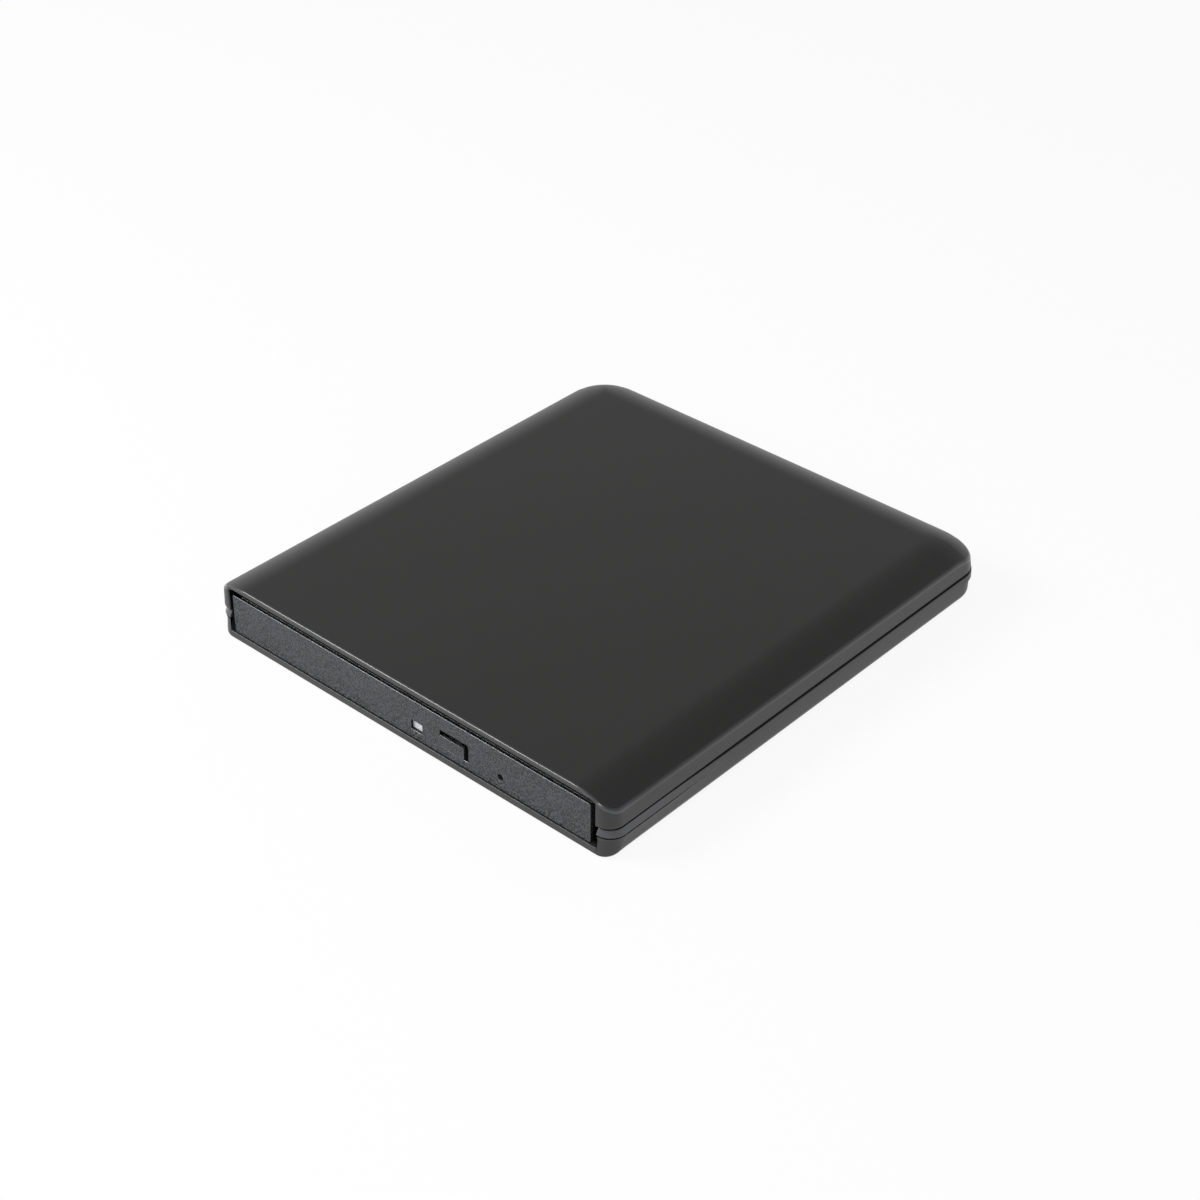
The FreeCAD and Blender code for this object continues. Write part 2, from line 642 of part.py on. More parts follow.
def make_bottom_cover():
    """Bottom shell: a tray with a lip at the parting line and seats for feet and board."""
    low = float(shell_low)
    high = float(parting)
    wall = float(dim.cover_wall)
    floor = low + float(dim.floor_wall)
    half = float(side_half - dim.lower_inset)
    rear = float(back - dim.lip_step - dim.lower_inset)
    front_r = float(dim.front_corner)
    back_r = float(dim.back_corner)
    face = float(front)
    plan = Part.Face(plan_wire(half, face, rear, front_r, back_r, low)).extrude(Vector(0, 0, high - low))
    steps = []
    for degrees in (0, 45, 90):
        angle = math.radians(degrees)
        inset = float(dim.under_round) * (1 - math.sin(angle))
        rise = float(dim.under_round) * (1 - math.cos(angle))
        steps.append((half - inset, rear - inset, back_r - inset, low + rise))
    steps.append(steps[-1][:3] + (high + wall,))
    outer = plan.common(sloped_block(steps))
    lip_low = high - float(dim.lip_height)
    lip_r = back_r + float(dim.lip_step)
    lip = Part.Face(plan_wire(float(lip_half), face, float(back), front_r, lip_r, lip_low))
    outer = outer.fuse(lip.extrude(Vector(0, 0, high - lip_low)))
    inner = Part.Face(plan_wire(half - wall, face + wall, rear - wall, front_r - wall, back_r - wall,
                                floor, True))
    cover = outer.cut(inner.extrude(Vector(0, 0, high)))
    tongue = float(dim.tongue_thick)
    ring = []
    for inset in (wall, wall + tongue):
        ring.append(Part.Face(plan_wire(half - inset, face + inset, rear - inset, front_r - inset,
                                        back_r - inset, high - 2 * tongue, True)))
    rise = Vector(0, 0, 2 * tongue + float(dim.parting_gap + dim.tongue_rise))
    cover = cover.fuse(ring[0].extrude(rise).cut(ring[1].extrude(rise)))
    opening_half = float(case_half + dim.bezel_gap + dim.sill_gap)
    sill = low + float(dim.sill_height)
    past = float(dim.cut_past)
    cover = cover.cut(Part.makeBox(2 * opening_half, 2 * wall + 2 * past, 2 * high,
                                   Vector(-opening_half, face - past, sill)))
    extras = []
    for side in (-1, 1):
        boss_x = float(dim.boss_half)
        boss = Part.makeBox(2 * boss_x, 2 * boss_x, float(boss_split) - low,
                            Vector(side * float(foot_x) - boss_x, float(foot_y) - boss_x, low))
        extras.append(boss)
        for y in rib_rows:
            start = float(case_half + dim.rib_play)
            rib = Part.makeBox(half - wall / 2 - start, float(dim.rib_thick), float(dim.rib_height),
                               Vector(start, float(y), floor - wall / 2))
            extras.append(rib if side > 0 else rib.mirror(Vector(), Vector(1, 0, 0)))
    for x, y in board_posts:
        post = float(dim.post_half)
        extras.append(Part.makeBox(2 * post, 2 * post, float(bridge_level) - low - wall / 2,
                                   Vector(float(x) - post, float(y) - post, low + wall / 2)))
    cover = cover.fuse(extras)
    tools = []
    for x in (-foot_x, foot_x):
        for y in (-foot_y, foot_y):
            tools.append(Part.makeCylinder(float(dim.foot_radius), float(dim.foot_sunk),
                                           Vector(float(x), float(y), low)))
    for side in (-1, 1):
        at = Vector(side * float(foot_x), float(foot_y), low)
        head_r = float(dim.screw_head_radius + dim.screw_play)
        tools.append(Part.makeCylinder(head_r, float(screw_seat) - low, at))
        tools.append(Part.makeCylinder(float(dim.cover_screw_radius + dim.screw_play), high, at))
    port_half = float(dim.socket_width / 2 + dim.port_play)
    port_low = float(socket_low - dim.port_play)
    port_high = float(socket_low + dim.socket_height + dim.port_play)
    port = Part.makeBox(2 * port_half, 3 * wall, port_high - port_low,
                        Vector(float(dim.socket_side) - port_half, rear - 2 * wall, port_low))
    port_r = (port_high - port_low) / 2 - 0.01
    along = [e for e in port.Edges if e.BoundBox.YLength > wall]
    tools.append(port.makeFillet(port_r, along))
    for tool in tools:
        cover = cover.cut(tool)
    return keep(written_shape("bottom_cover_shape", cover.removeSplitter()), "bottom_cover")


boss_split = parting - dim.boss_below
screw_seat = shell_low + dim.screw_depth
socket_low = bridge_level + dim.board_thick
bridge_front = case_back + dim.bridge_gap
bridge_back = back - dim.lip_step - dim.lower_inset - dim.cover_wall - dim.bridge_play
board_posts = [(x, y) for x in (-dim.post_side, dim.post_side)
               for y in (bridge_front + dim.post_half, bridge_back - dim.post_half)]
rib_shares = (0.15, 0.5, 0.85)
rib_rows = [case_front + (case_back - case_front) * share for share in rib_shares]


def make_feet():
    """Four rubber feet in their recesses."""
    feet = []
    radius, height = dim.foot_radius - dim.foot_play, dim.foot_proud + dim.foot_sunk
    for i, (x, y) in enumerate([(-foot_x, -foot_y), (foot_x, -foot_y), (-foot_x, foot_y), (foot_x, foot_y)]):
        feet.append(rod(f"foot{i}", radius, 0, height, (x, y)))
    return keep(group("feet", feet), "rubber_feet")


def make_pads():
    """Foam strips that hold the steel case between the covers."""
    lower, upper = [], []
    for i, x in enumerate((-case_half, case_half - dim.pad_width)):
        for j, y in enumerate((case_front + dim.pad_end, case_back - dim.pad_end - dim.pad_length)):
            lower.append(box(f"lower_pad{i}{j}", (x, y, shell_low + dim.floor_wall),
                             (x + dim.pad_width, y + dim.pad_length, case_low)))
            upper.append(box(f"upper_pad{i}{j}", (x + dim.pad_shift * (1 - 2 * i), y, case_top),
                             (x + dim.pad_width + dim.pad_shift * (1 - 2 * i), y + dim.pad_length,
                              shell_top - dim.cover_wall)))
    keep(group("pads_below", lower), "lower_foam_pads")
    keep(group("pads_above", upper), "upper_foam_pads")


# Steel case of the mechanism

def make_pan():
    """Lower steel case: floor, two side walls and a back wall with a connector gap."""
    body = new_body("pan")
    metal = dim.sheet_metal
    wall_top = case_top - metal
    extrude(body, "Pad", "XY_Plane", case_low, wall_top,
            [rectangle(-case_half, case_front, case_half, case_back)])
    extrude(body, "Pocket", "XY_Plane", case_low + metal, wall_top,
            [rectangle(metal - case_half, case_front - dim.cut_past, case_half - metal, case_back - metal)])
    extrude(body, "Pocket", "XZ_Plane", case_back - metal - dim.cut_past, case_back + dim.cut_past,
            [rectangle(connector_left, case_low + 2 * metal, connector_right, connector_high)])
    extrude(body, "Pad", "XY_Plane", case_low + metal, case_low + metal + dim.catch_height,
            circles=[(catch_x, catch_y, dim.catch_radius * 2)])
    return keep(body, "drive_pan")


def make_lid():
    """Upper steel case: a plate with a stiffening panel pressed into it."""
    body = new_body("lid")
    metal = dim.sheet_metal
    extrude(body, "Pad", "XY_Plane", case_top - metal, case_top,
            [rectangle(-case_half, case_front, case_half, case_back)])
    edge = dim.lid_panel_edge
    extrude(body, "Pocket", "XY_Plane", case_top - dim.lid_panel_depth, case_top,
            [rectangle(edge - case_half, case_front + edge, case_half - edge, case_back - edge)])
    round_edges(body, dim.lid_corner, lambda e, m: e.BoundBox.ZLength > float(dim.lid_panel_depth) / 2
                and e.BoundBox.XLength < 0.01 and abs(m.x) < float(case_half) - 1)
    return keep(body, "drive_lid")


catch_x = dim.catch_side
catch_y = tray_back - dim.catch_inset
connector_left = dim.connector_side - dim.connector_width / 2
connector_right = dim.connector_side + dim.connector_width / 2
connector_high = case_low + dim.sheet_metal + dim.connector_height + dim.board_thick + dim.fit_gap
board_back = case_back - dim.sheet_metal - dim.fit_gap
board_front = board_back - dim.main_board_depth
shield_back = board_front - dim.shield_gap
rail_out = case_half - dim.sheet_metal - dim.rail_inset
rail_in = rail_out - dim.rail_width
channel_half = dim.rail_half + dim.rail_play
mouth_half = dim.rail_web / 2 + dim.rail_play
tray_side = rail_in - dim.rail_play - dim.channel_wall


# Rails

def mirrored(side, corners):
    """Corners of a section, on the right (1) or the left (-1)."""
    return [(side * size(x), z) for x, z in corners]


def rail_section():
    """Two heads joined by a web."""
    level, high, web = rail_level, dim.rail_half, dim.rail_web / 2
    outer, inner = rail_out - dim.rail_head, rail_in + dim.rail_head
    return [(rail_out, level - high), (rail_out, level + high), (outer, level + high),
            (outer, level + web), (inner, level + web), (inner, level + high),
            (rail_in, level + high), (rail_in, level - high), (inner, level - high),
            (inner, level - web), (outer, level - web), (outer, level - high)]


def channel_section(wall_x, hollow_x, lip_x, face_x, low, high):
    """A channel whose hollow and mouth clear the rail."""
    level = rail_level
    return [(wall_x, low), (face_x, low), (face_x, level - mouth_half), (lip_x, level - mouth_half),
            (lip_x, level - channel_half), (hollow_x, level - channel_half),
            (hollow_x, level + channel_half), (lip_x, level + channel_half),
            (lip_x, level + mouth_half), (face_x, level + mouth_half), (face_x, high), (wall_x, high)]


def make_rails():
    """Fixed guides in the pan and the rails that slide in them."""
    lip = rail_out - dim.rail_head - dim.rail_play
    for side, word in ((-1, "left"), (1, "right")):
        guide = new_body(f"guide_{word}")
        section = channel_section(case_half - dim.sheet_metal, rail_out + dim.rail_play, lip,
                                  lip - dim.channel_wall, floor_top,
                                  rail_level + channel_half + dim.channel_wall)
        extrude(guide, "Pad", "XZ_Plane", case_front + dim.pad_end / 4,
                case_back - dim.sheet_metal - dim.fit_gap, [mirrored(side, section)])
        keep(guide, f"rail_guide_{word}")
        rail = new_body(f"rail_{word}")
        extrude(rail, "Pad", "XZ_Plane", case_front + dim.pad_end / 4, tray_back - dim.tray_tail,
                [mirrored(side, rail_section())])
        keep(rail, f"slide_rail_{word}")


# Drawer

turn = math.radians(float(dim.traverse_angle))
turn_cos = Size(math.cos(turn), "cos(sizes.traverse_angle)")
turn_sin = Size(math.sin(turn), "sin(sizes.traverse_angle)")


def on_traverse(u, v):
    """A point given along and across the pickup's travel, from the spindle."""
    return turn_cos * u - turn_sin * v, spindle_y + turn_sin * u + turn_cos * v


def place_traverse(thing):
    """Turn a piece drawn along X into the traverse's direction, about the spindle."""
    thing.Placement = Placement(Vector(), Rotation(Vector(0, 0, 1), float(dim.traverse_angle)))
    bind(thing, ".Placement.Base.y", spindle_y)
    bind(thing, ".Placement.Rotation.Angle", dim.traverse_angle)
    return thing


cover_start = -dim.cover_ring * 0.75
lens_outer = dim.disc_radius - dim.disc_margin
window_end = lens_outer + dim.pickup_ahead + dim.fit_gap
cover_end = window_end + 2 * dim.chassis_thick - dim.fit_gap
button_x = dim.button_left
button_z = shell_low + dim.button_low
stem_inset = dim.button_width / 4
switch_front = tray_front + dim.tray_wall + dim.button_travel + dim.fit_gap + 2 * dim.board_thick / 5
damper_spots = [(-dim.damper_behind, -dim.damper_behind_right), (-dim.damper_behind, dim.damper_behind_left),
                (window_end - dim.damper_left_short, dim.damper_left_aside),
                (window_end - dim.damper_right_short, -dim.damper_right_aside)]


def window_corners(grow):
    """The traverse cover's outline, grown by a clearance."""
    half = dim.cover_half + grow
    u0, u1 = cover_start - grow, cover_end + grow
    return [on_traverse(u, v) for u, v in ((u0, -half), (u1, -half), (u1, half), (u0, half))]


def make_tray():
    """The drawer: a deck with the disc's recess, a front wall and two rail channels."""
    body = new_body("drawer")
    extrude(body, "Pad", "XY_Plane", plate_low, tray_top,
            [rectangle(-tray_half, tray_front, tray_half, tray_back)])
    extrude(body, "Pad", "XY_Plane", tray_skirt, plate_low,
            [rectangle(-tray_side - dim.channel_wall, tray_front,
                       tray_side + dim.channel_wall, tray_front + dim.tray_wall)])
    lip = rail_in + dim.rail_head + dim.rail_play
    for side in (-1, 1):
        section = channel_section(tray_side, tray_side + dim.channel_wall, lip, lip + dim.channel_wall,
                                  rail_level - channel_half - dim.channel_wall, plate_low)
        extrude(body, "Pad", "XZ_Plane", tray_front, tray_back, [mirrored(side, section)])
    extrude(body, "Pocket", "XY_Plane", recess_floor, tray_top,
            circles=[(0, spindle_y, recess_radius)])
    extrude(body, "Pocket", "XY_Plane", cover_top, recess_floor,
            circles=[(0, spindle_y, dim.small_recess)])
    extrude(body, "Pocket", "XY_Plane", plate_low, tray_top, [window_corners(dim.fit_gap)])
    extrude(body, "Pocket", "XY_Plane", plate_low, tray_top,
            circles=[(0, spindle_y, dim.cover_ring + dim.fit_gap)])
    play = dim.button_gap + dim.fit_gap / 2
    extrude(body, "Pocket", "XZ_Plane", tray_front, tray_front + dim.tray_wall,
            [rectangle(button_x + stem_inset - play, button_z + dim.button_gap,
                       button_x + dim.button_width - stem_inset + play,
                       button_z + dim.button_height - dim.button_gap)],
            [(dim.pinhole_side, shell_low + dim.pinhole_up, dim.pinhole_radius)])
    return keep(body, "tray")


def make_bezel():
    """The drawer's front plate with its button opening, light slot and eject hole."""
    body = new_body("front_plate")
    extrude(body, "Pad", "XZ_Plane", bezel_front, bezel_back,
            [rectangle(-case_half, bezel_low, case_half, bezel_top)])
    round_edges(body, dim.bezel_round, lambda e, m: abs(m.y - float(bezel_front)) < 0.01)
    extrude(body, "Pocket", "XZ_Plane", bezel_front + dim.bezel_lip, bezel_back,
            [rectangle(-case_half, bezel_top - dim.bezel_rebate, case_half, bezel_top)])
    led_z = shell_low + dim.led_low
    extrude(body, "Pocket", "XZ_Plane", bezel_front, bezel_back,
            [rectangle(button_x - dim.button_gap, button_z - dim.button_gap,
                       button_x + dim.button_width + dim.button_wide_gap,
                       button_z + dim.button_height + dim.button_wide_gap)])
    extrude(body, "Pocket", "XZ_Plane", bezel_front, bezel_back,
            [rectangle(dim.led_left, led_z, dim.led_left + dim.led_width, led_z + dim.led_height)])
    extrude(body, "Pocket", "XZ_Plane", bezel_front, bezel_back,
            circles=[(dim.pinhole_side, shell_low + dim.pinhole_up, dim.pinhole_radius)])
    return keep(body, "bezel")


def make_led_window():
    """Clear plug, set back in its slot in the bezel."""
    led_z = shell_low + dim.led_low
    window = box("light_plug", (dim.led_left, bezel_front + 2 * dim.fit_gap, led_z),
                 (dim.led_left + dim.led_width, bezel_back, led_z + dim.led_height))
    return keep(window, "led_window")


def make_button():
    """Eject button with its stem, and the switch that it presses."""
    body = new_body("button")
    plate_back = tray_front - dim.button_travel - dim.fit_gap
    extrude(body, "Pad", "XZ_Plane", front, plate_back,
            [rectangle(button_x, button_z, button_x + dim.button_width, button_z + dim.button_height)])
    round_edges(body, dim.fit_gap, lambda e, m: abs(m.y - float(front)) < 0.01)
    extrude(body, "Pad", "XZ_Plane", plate_back, tray_front + dim.tray_wall + dim.fit_gap,
            [rectangle(button_x + stem_inset, button_z + 3 * dim.button_gap,
                       button_x + dim.button_width - stem_inset,
                       button_z + dim.button_height - 3 * dim.button_gap)])
    keep(body, "eject_button")
    board_low = plate_low - dim.board_thick
    edge = tray_front + dim.tray_wall + dim.fit_gap
    board = box("front_board", (dim.led_left, edge, board_low),
                (tray_side - dim.fit_gap, edge + 22 * dim.board_thick, plate_low))
    keep(board, "tray_board")
    block = box("switch_block", (button_x + stem_inset / 2, switch_front, button_z),
                (button_x + dim.button_width - stem_inset / 2, switch_front + dim.button_height, board_low))
    keep(block, "eject_switch")


def make_shield():
    """Thin plate under the front of the drawer, turned up at its sides."""
    body = new_body("shield")
    edge, thick, low = tray_side, dim.shield_thick, shield_level
    high = rail_level
    section = [(-edge, low), (edge, low), (edge, high), (edge - thick, high),
               (edge - thick, low + thick), (thick - edge, low + thick), (thick - edge, high), (-edge, high)]
    extrude(body, "Pad", "XZ_Plane", tray_front + dim.tray_wall, shield_back, [section])
    return keep(body, "tray_shield")


# Traverse: everything that hangs under the disc, drawn along the pickup's travel

chassis_end = window_end + 2 * dim.chassis_thick
shaft_start = 4 * dim.chassis_thick
shaft_end = chassis_end - dim.fit_gap


def make_traverse_cover():
    """Sheet around the turntable with a slot over the lens, turned down at its long edges."""
    body = new_body("cover_sheet")
    half, low, high = dim.cover_half, cover_low, cover_top
    extrude(body, "Pad", "XY_Plane", low, high, [rectangle(cover_start, -half, cover_end, half)])
    extrude(body, "Pad", "XY_Plane", low, high, circles=[(0, 0, dim.cover_ring)])
    for v0, v1 in ((-half, dim.cover_plate - half), (half - dim.cover_plate, half)):
        extrude(body, "Pad", "XY_Plane", chassis_top, low, [rectangle(dim.cover_ring, v0, cover_end, v1)])
    extrude(body, "Pocket", "XY_Plane", low, high, circles=[(0, 0, dim.flange_radius + 2 * dim.fit_gap)])
    slot = dim.cover_slot_half
    extrude(body, "Pocket", "XY_Plane", low, high, [rectangle(0, -slot, window_end, slot)])
    return keep(place_traverse(body), "traverse_cover")


def make_chassis():
    """Flat metal frame with lugs for the dampers and a window for the pickup."""
    body = new_body("frame_plate")
    low, high = chassis_level, chassis_top
    inner = window_end
    edge = dim.shaft_side + 3 * dim.chassis_thick
    far = dim.screw_side + 2.8 * dim.chassis_thick
    corner = 7 * dim.chassis_thick
    outline = [(-far, -far), (chassis_end - corner, -far), (chassis_end, corner - far),
               (chassis_end, edge - corner / 2), (chassis_end - corner / 2, edge), (-far, edge)]
    extrude(body, "Pad", "XY_Plane", low, high, [outline])
    lug = dim.damper_radius + dim.chassis_thick / 2
    for u, v in damper_spots:
        extrude(body, "Pad", "XY_Plane", low, high, [rectangle(u - lug, v - lug, u + lug, v + lug)])
    extrude(body, "Pocket", "XY_Plane", low, high, circles=[(0, 0, dim.rotor_radius + dim.chassis_thick)])
    reach = dim.pickup_half + dim.fit_gap
    extrude(body, "Pocket", "XY_Plane", low, high,
            [rectangle(dim.lens_inner - dim.pickup_behind - dim.chassis_thick, -reach, inner, reach)])
    hole = dim.damper_waist
    for u, v in damper_spots:
        extrude(body, "Pocket", "XY_Plane", low, high, [rectangle(u - hole, v - hole, u + hole, v + hole)])
    return keep(place_traverse(body), "traverse_chassis")


def make_dampers():
    """Rubber studs under the drawer that carry the chassis and let it float."""
    rubber = []
    low = chassis_level
    for i, (u, v) in enumerate(damper_spots):
        pieces = []
        for word, half, start, end in (("flange", dim.damper_radius, low - 2 * dim.fit_gap, low),
                                       ("waist", dim.damper_waist, low, plate_low)):
            pieces.append(box(f"damper_{word}{i}", (u - half, v - half, start), (u + half, v + half, end)))
        rubber.append(join(f"damper{i}", pieces))
    keep(place_traverse(group("dampers", rubber)), "rubber_dampers")


def make_shafts():
    """Two guide shafts under the chassis and the blocks with a square seat for each end."""
    shafts, blocks, bores = [], [], []
    width = dim.shaft_radius + dim.fit_gap
    for i, v in enumerate((-dim.shaft_side, dim.shaft_side)):
        shafts.append(rod(f"shaft{i}", dim.shaft_radius, shaft_start, shaft_end, (v, shaft_level), "x"))
        for j, (u0, u1) in enumerate(((shaft_start, 2 * shaft_start),
                                      (shaft_end - 0.8 * shaft_start, shaft_end))):
            block = box(f"shaft_block{i}{j}", (u0, v - width, shaft_level - width),
                        (u1, v + width, chassis_level))
            seat = box(f"shaft_seat{i}{j}",
                       (u0 - dim.cut_past, v - dim.shaft_radius, shaft_level - 2 * width),
                       (u1 + dim.cut_past, v + dim.shaft_radius, shaft_level + dim.shaft_radius))
            blocks.append(cut(f"shaft_holder{i}{j}", block, [seat]))
    keep(place_traverse(group("shaft_pair", shafts)), "guide_shafts")
    keep(place_traverse(group("shaft_blocks", blocks)), "shaft_holders")


spindle_low = pickup_low + 0.2 * dim.chassis_thick
base_top = spindle_low + 0.6 * dim.chassis_thick
bearing_top = chassis_top - dim.chassis_thick
rotor_low = base_top + 2 * dim.fit_gap
rotor_top = chassis_top
flange_low = recess_floor - dim.flange_thick + dim.fit_gap
disc_level = recess_floor + dim.fit_gap + dim.friction_thick
hub_low = flange_low + dim.flange_thick
hub_top = hub_low + dim.hub_height


def make_spindle():
    """Motor base with its bearing, stator with its poles, and the rotor cup."""
    body = new_body("motor_base")
    wide = dim.rotor_radius - 0.5 * dim.chassis_thick
    extrude(body, "Pad", "XY_Plane", spindle_low, base_top,
            [rectangle(-1.4 * wide, -wide, 0.8 * wide, wide)])
    extrude(body, "Pad", "XY_Plane", base_top, bearing_top, circles=[(0, 0, dim.bearing_radius)])
    post = -1.4 * wide + dim.journal_radius
    for v in (-0.8 * wide, 0, 0.8 * wide):
        half = dim.journal_radius
        extrude(body, "Pad", "XY_Plane", base_top, chassis_level,
                [rectangle(post - half, v - half, post + half, v + half)])
    extrude(body, "Pocket", "XY_Plane", base_top, bearing_top,
            circles=[(0, 0, dim.spindle_radius + dim.running_play)])
    keep(place_traverse(body), "spindle_base")

    body = new_body("pole_ring")
    low, high = rotor_low + dim.fit_gap, bearing_top - 2 * dim.fit_gap
    extrude(body, "Pad", "XY_Plane", low, high,
            circles=[(0, 0, dim.stator_radius), (0, 0, dim.bearing_radius)])
    slot = extrude(body, "Pocket", "XY_Plane", low, high,
                   [rectangle(dim.bearing_radius + dim.pole_root, -dim.journal_radius,
                              dim.stator_radius + dim.cut_past, dim.journal_radius)])
    doc.recompute()
    pattern = body.newObject("PartDesign::PolarPattern", "poles")
    pattern.Originals = [slot]
    pattern.Axis = (slot.Profile[0], ["N_Axis"])
    pattern.Angle = 360
    pattern.setExpression("Occurrences", dim.stator_slots.text)
    body.Tip = pattern
    keep(place_traverse(body), "stator")

    wall = 0.6 * dim.chassis_thick
    inner = dim.rotor_radius - wall
    rotor = turned("rotor", [
        (0, base_top + dim.running_play), (dim.spindle_radius, base_top + dim.running_play),
        (dim.spindle_radius, rotor_top - wall), (inner, rotor_top - wall), (inner, rotor_low),
        (dim.rotor_radius, rotor_low), (dim.rotor_radius, rotor_top), (0, rotor_top)], 0, spindle_y)
    keep(rotor, "rotor_cup")


def make_hub():
    """Turntable with its centring hub, friction ring and three claws."""
    neck = dim.spindle_radius * 3
    hub = turned("hub", [
        (0, rotor_top), (neck, rotor_top), (neck, flange_low),
        (dim.flange_radius, flange_low), (dim.flange_radius, hub_low), (dim.hub_radius, hub_low),
        (dim.hub_radius, hub_top - dim.hub_bevel), (dim.hub_radius - 2 * dim.hub_bevel, hub_top),
        (0, hub_top)], 0, spindle_y)
    slot = extrude(hub, "Pocket", "XY_Plane", claw_low - dim.fit_gap, hub_top,
                   [rectangle(dim.claw_root - dim.claw_travel - dim.fit_gap, -dim.claw_half - dim.fit_gap,
                              dim.hub_radius + dim.cut_past, dim.claw_half + dim.fit_gap)])
    doc.recompute()
    pattern = hub.newObject("PartDesign::PolarPattern", "claw_slots")
    pattern.Originals = [slot]
    pattern.Axis = (slot.Profile[0], ["N_Axis"])
    pattern.Angle = 360
    pattern.setExpression("Occurrences", dim.claw_count.text)
    hub.Tip = pattern
    keep(hub, "turntable_hub")
    ring = turned("grip_ring", [
        (dim.friction_inner, hub_low), (dim.friction_outer, hub_low),
        (dim.friction_outer, disc_level), (dim.friction_inner, disc_level)], 0, spindle_y)
    keep(ring, "friction_ring")
    count = int(float(dim.claw_count))
    for i in range(count):
        claw = new_body(f"claw{i + 1}")
        low, tip = claw_low, dim.hub_radius + dim.claw_proud
        extrude(claw, "Pad", "XZ_Plane", -dim.claw_half, dim.claw_half, [[
            (dim.claw_root, low), (tip - 2 * dim.claw_proud, low), (tip, low + 2 * dim.claw_proud),
            (tip - 2 * dim.claw_proud, claw_high), (dim.claw_root, claw_high)]])
        claw.Placement = Placement(Vector(), Rotation(Vector(0, 0, 1), 360 * i / count))
        bind(claw, ".Placement.Base.y", spindle_y)
        keep(claw, f"hub_claw_{i + 1}")


claw_low = hub_low + dim.friction_thick + 0.2 * dim.chassis_thick
claw_high = hub_top - dim.hub_bevel / 2


def make_pickup():
    """Optical pickup on its two shafts, with the lens on its sprung holder."""
    body = new_body("pickup")
    inner, outer = dim.lens_inner - dim.pickup_behind, dim.lens_inner + dim.pickup_ahead
    half, arm = dim.pickup_half, dim.bearing_arm
    arm_high = chassis_level - dim.fit_gap
    arm_low = shaft_level - dim.shaft_radius - dim.chassis_thick
    extrude(body, "Pad", "XY_Plane", pickup_low, pickup_high, [rectangle(inner, -half, outer, half)])
    arm_start, arm_end = inner + shaft_start, outer - dim.pickup_ahead / 2
    extrude(body, "Pad", "XY_Plane", arm_low, arm_high, [rectangle(arm_start, -arm, arm_end, arm)])
    extrude(body, "Pocket", "XY_Plane", pickup_low, pickup_high,
            circles=[(0, 0, dim.rotor_radius + 1.5 * dim.chassis_thick)])
    bore = dim.shaft_radius + dim.running_play
    extrude(body, "Pocket", "YZ_Plane", inner, outer,
            circles=[(-dim.shaft_side, shaft_level, bore), (dim.shaft_side, shaft_level, bore)])
    extrude(body, "Pocket", "XY_Plane", pocket_floor, pickup_high,
            [rectangle(pocket_start, -pocket_half, dim.lens_inner + 3.6 * dim.chassis_thick, pocket_half)])
    keep(place_traverse(body), "pickup_body")

    body = new_body("lens_frame")
    extrude(body, "Pad", "XY_Plane", holder_low, holder_high,
            [rectangle(holder_start, -holder_half, dim.lens_inner + 3 * dim.chassis_thick, holder_half)])
    extrude(body, "Pocket", "XY_Plane", holder_low, holder_high,
            circles=[(dim.lens_inner, 0, dim.lens_radius)])
    keep(place_traverse(body), "lens_holder")

    dome = dim.lens_radius / 4
    lens = turned("lens", [
        (0, holder_low), (dim.lens_radius, holder_low), (dim.lens_radius, holder_high - dome),
        (0, holder_high + 0.9 * dome)],
        *on_traverse(dim.lens_inner, 0))
    keep(lens, "objective_lens")

    wires = []
    half_wire = dim.fit_gap / 2
    for i, v in enumerate((-0.7 * holder_half, 0.7 * holder_half)):
        for j, z in enumerate((holder_low + dim.fit_gap, holder_high - dim.fit_gap)):
            wires.append(box(f"wire{i}{j}", (pocket_start, v - half_wire, z - half_wire),
                             (holder_start, v + half_wire, z + half_wire)))
    keep(place_traverse(group("wires", wires)), "lens_wires")

    top = screw_level + dim.screw_radius + dim.fit_gap
    follower = box("rack_tooth", (arm_start, -dim.screw_side - dim.screw_radius, top),
                   (arm_start + shaft_start, -arm, arm_high))
    keep(place_traverse(group("rack", [follower])), "feed_follower")


pocket_half = dim.lens_radius * 2.7
pocket_start = dim.lens_inner - dim.pickup_behind / 2.3
pocket_floor = pickup_high - 1.9 * dim.chassis_thick
holder_low = pocket_floor + dim.focus_travel + dim.fit_gap
holder_high = pickup_high + 0.2 * dim.chassis_thick
holder_half = pocket_half - 1.6 * dim.chassis_thick
holder_start = dim.lens_inner - 3.6 * dim.chassis_thick
screw_start = 2 * shaft_start
screw_end = shaft_end - shaft_start


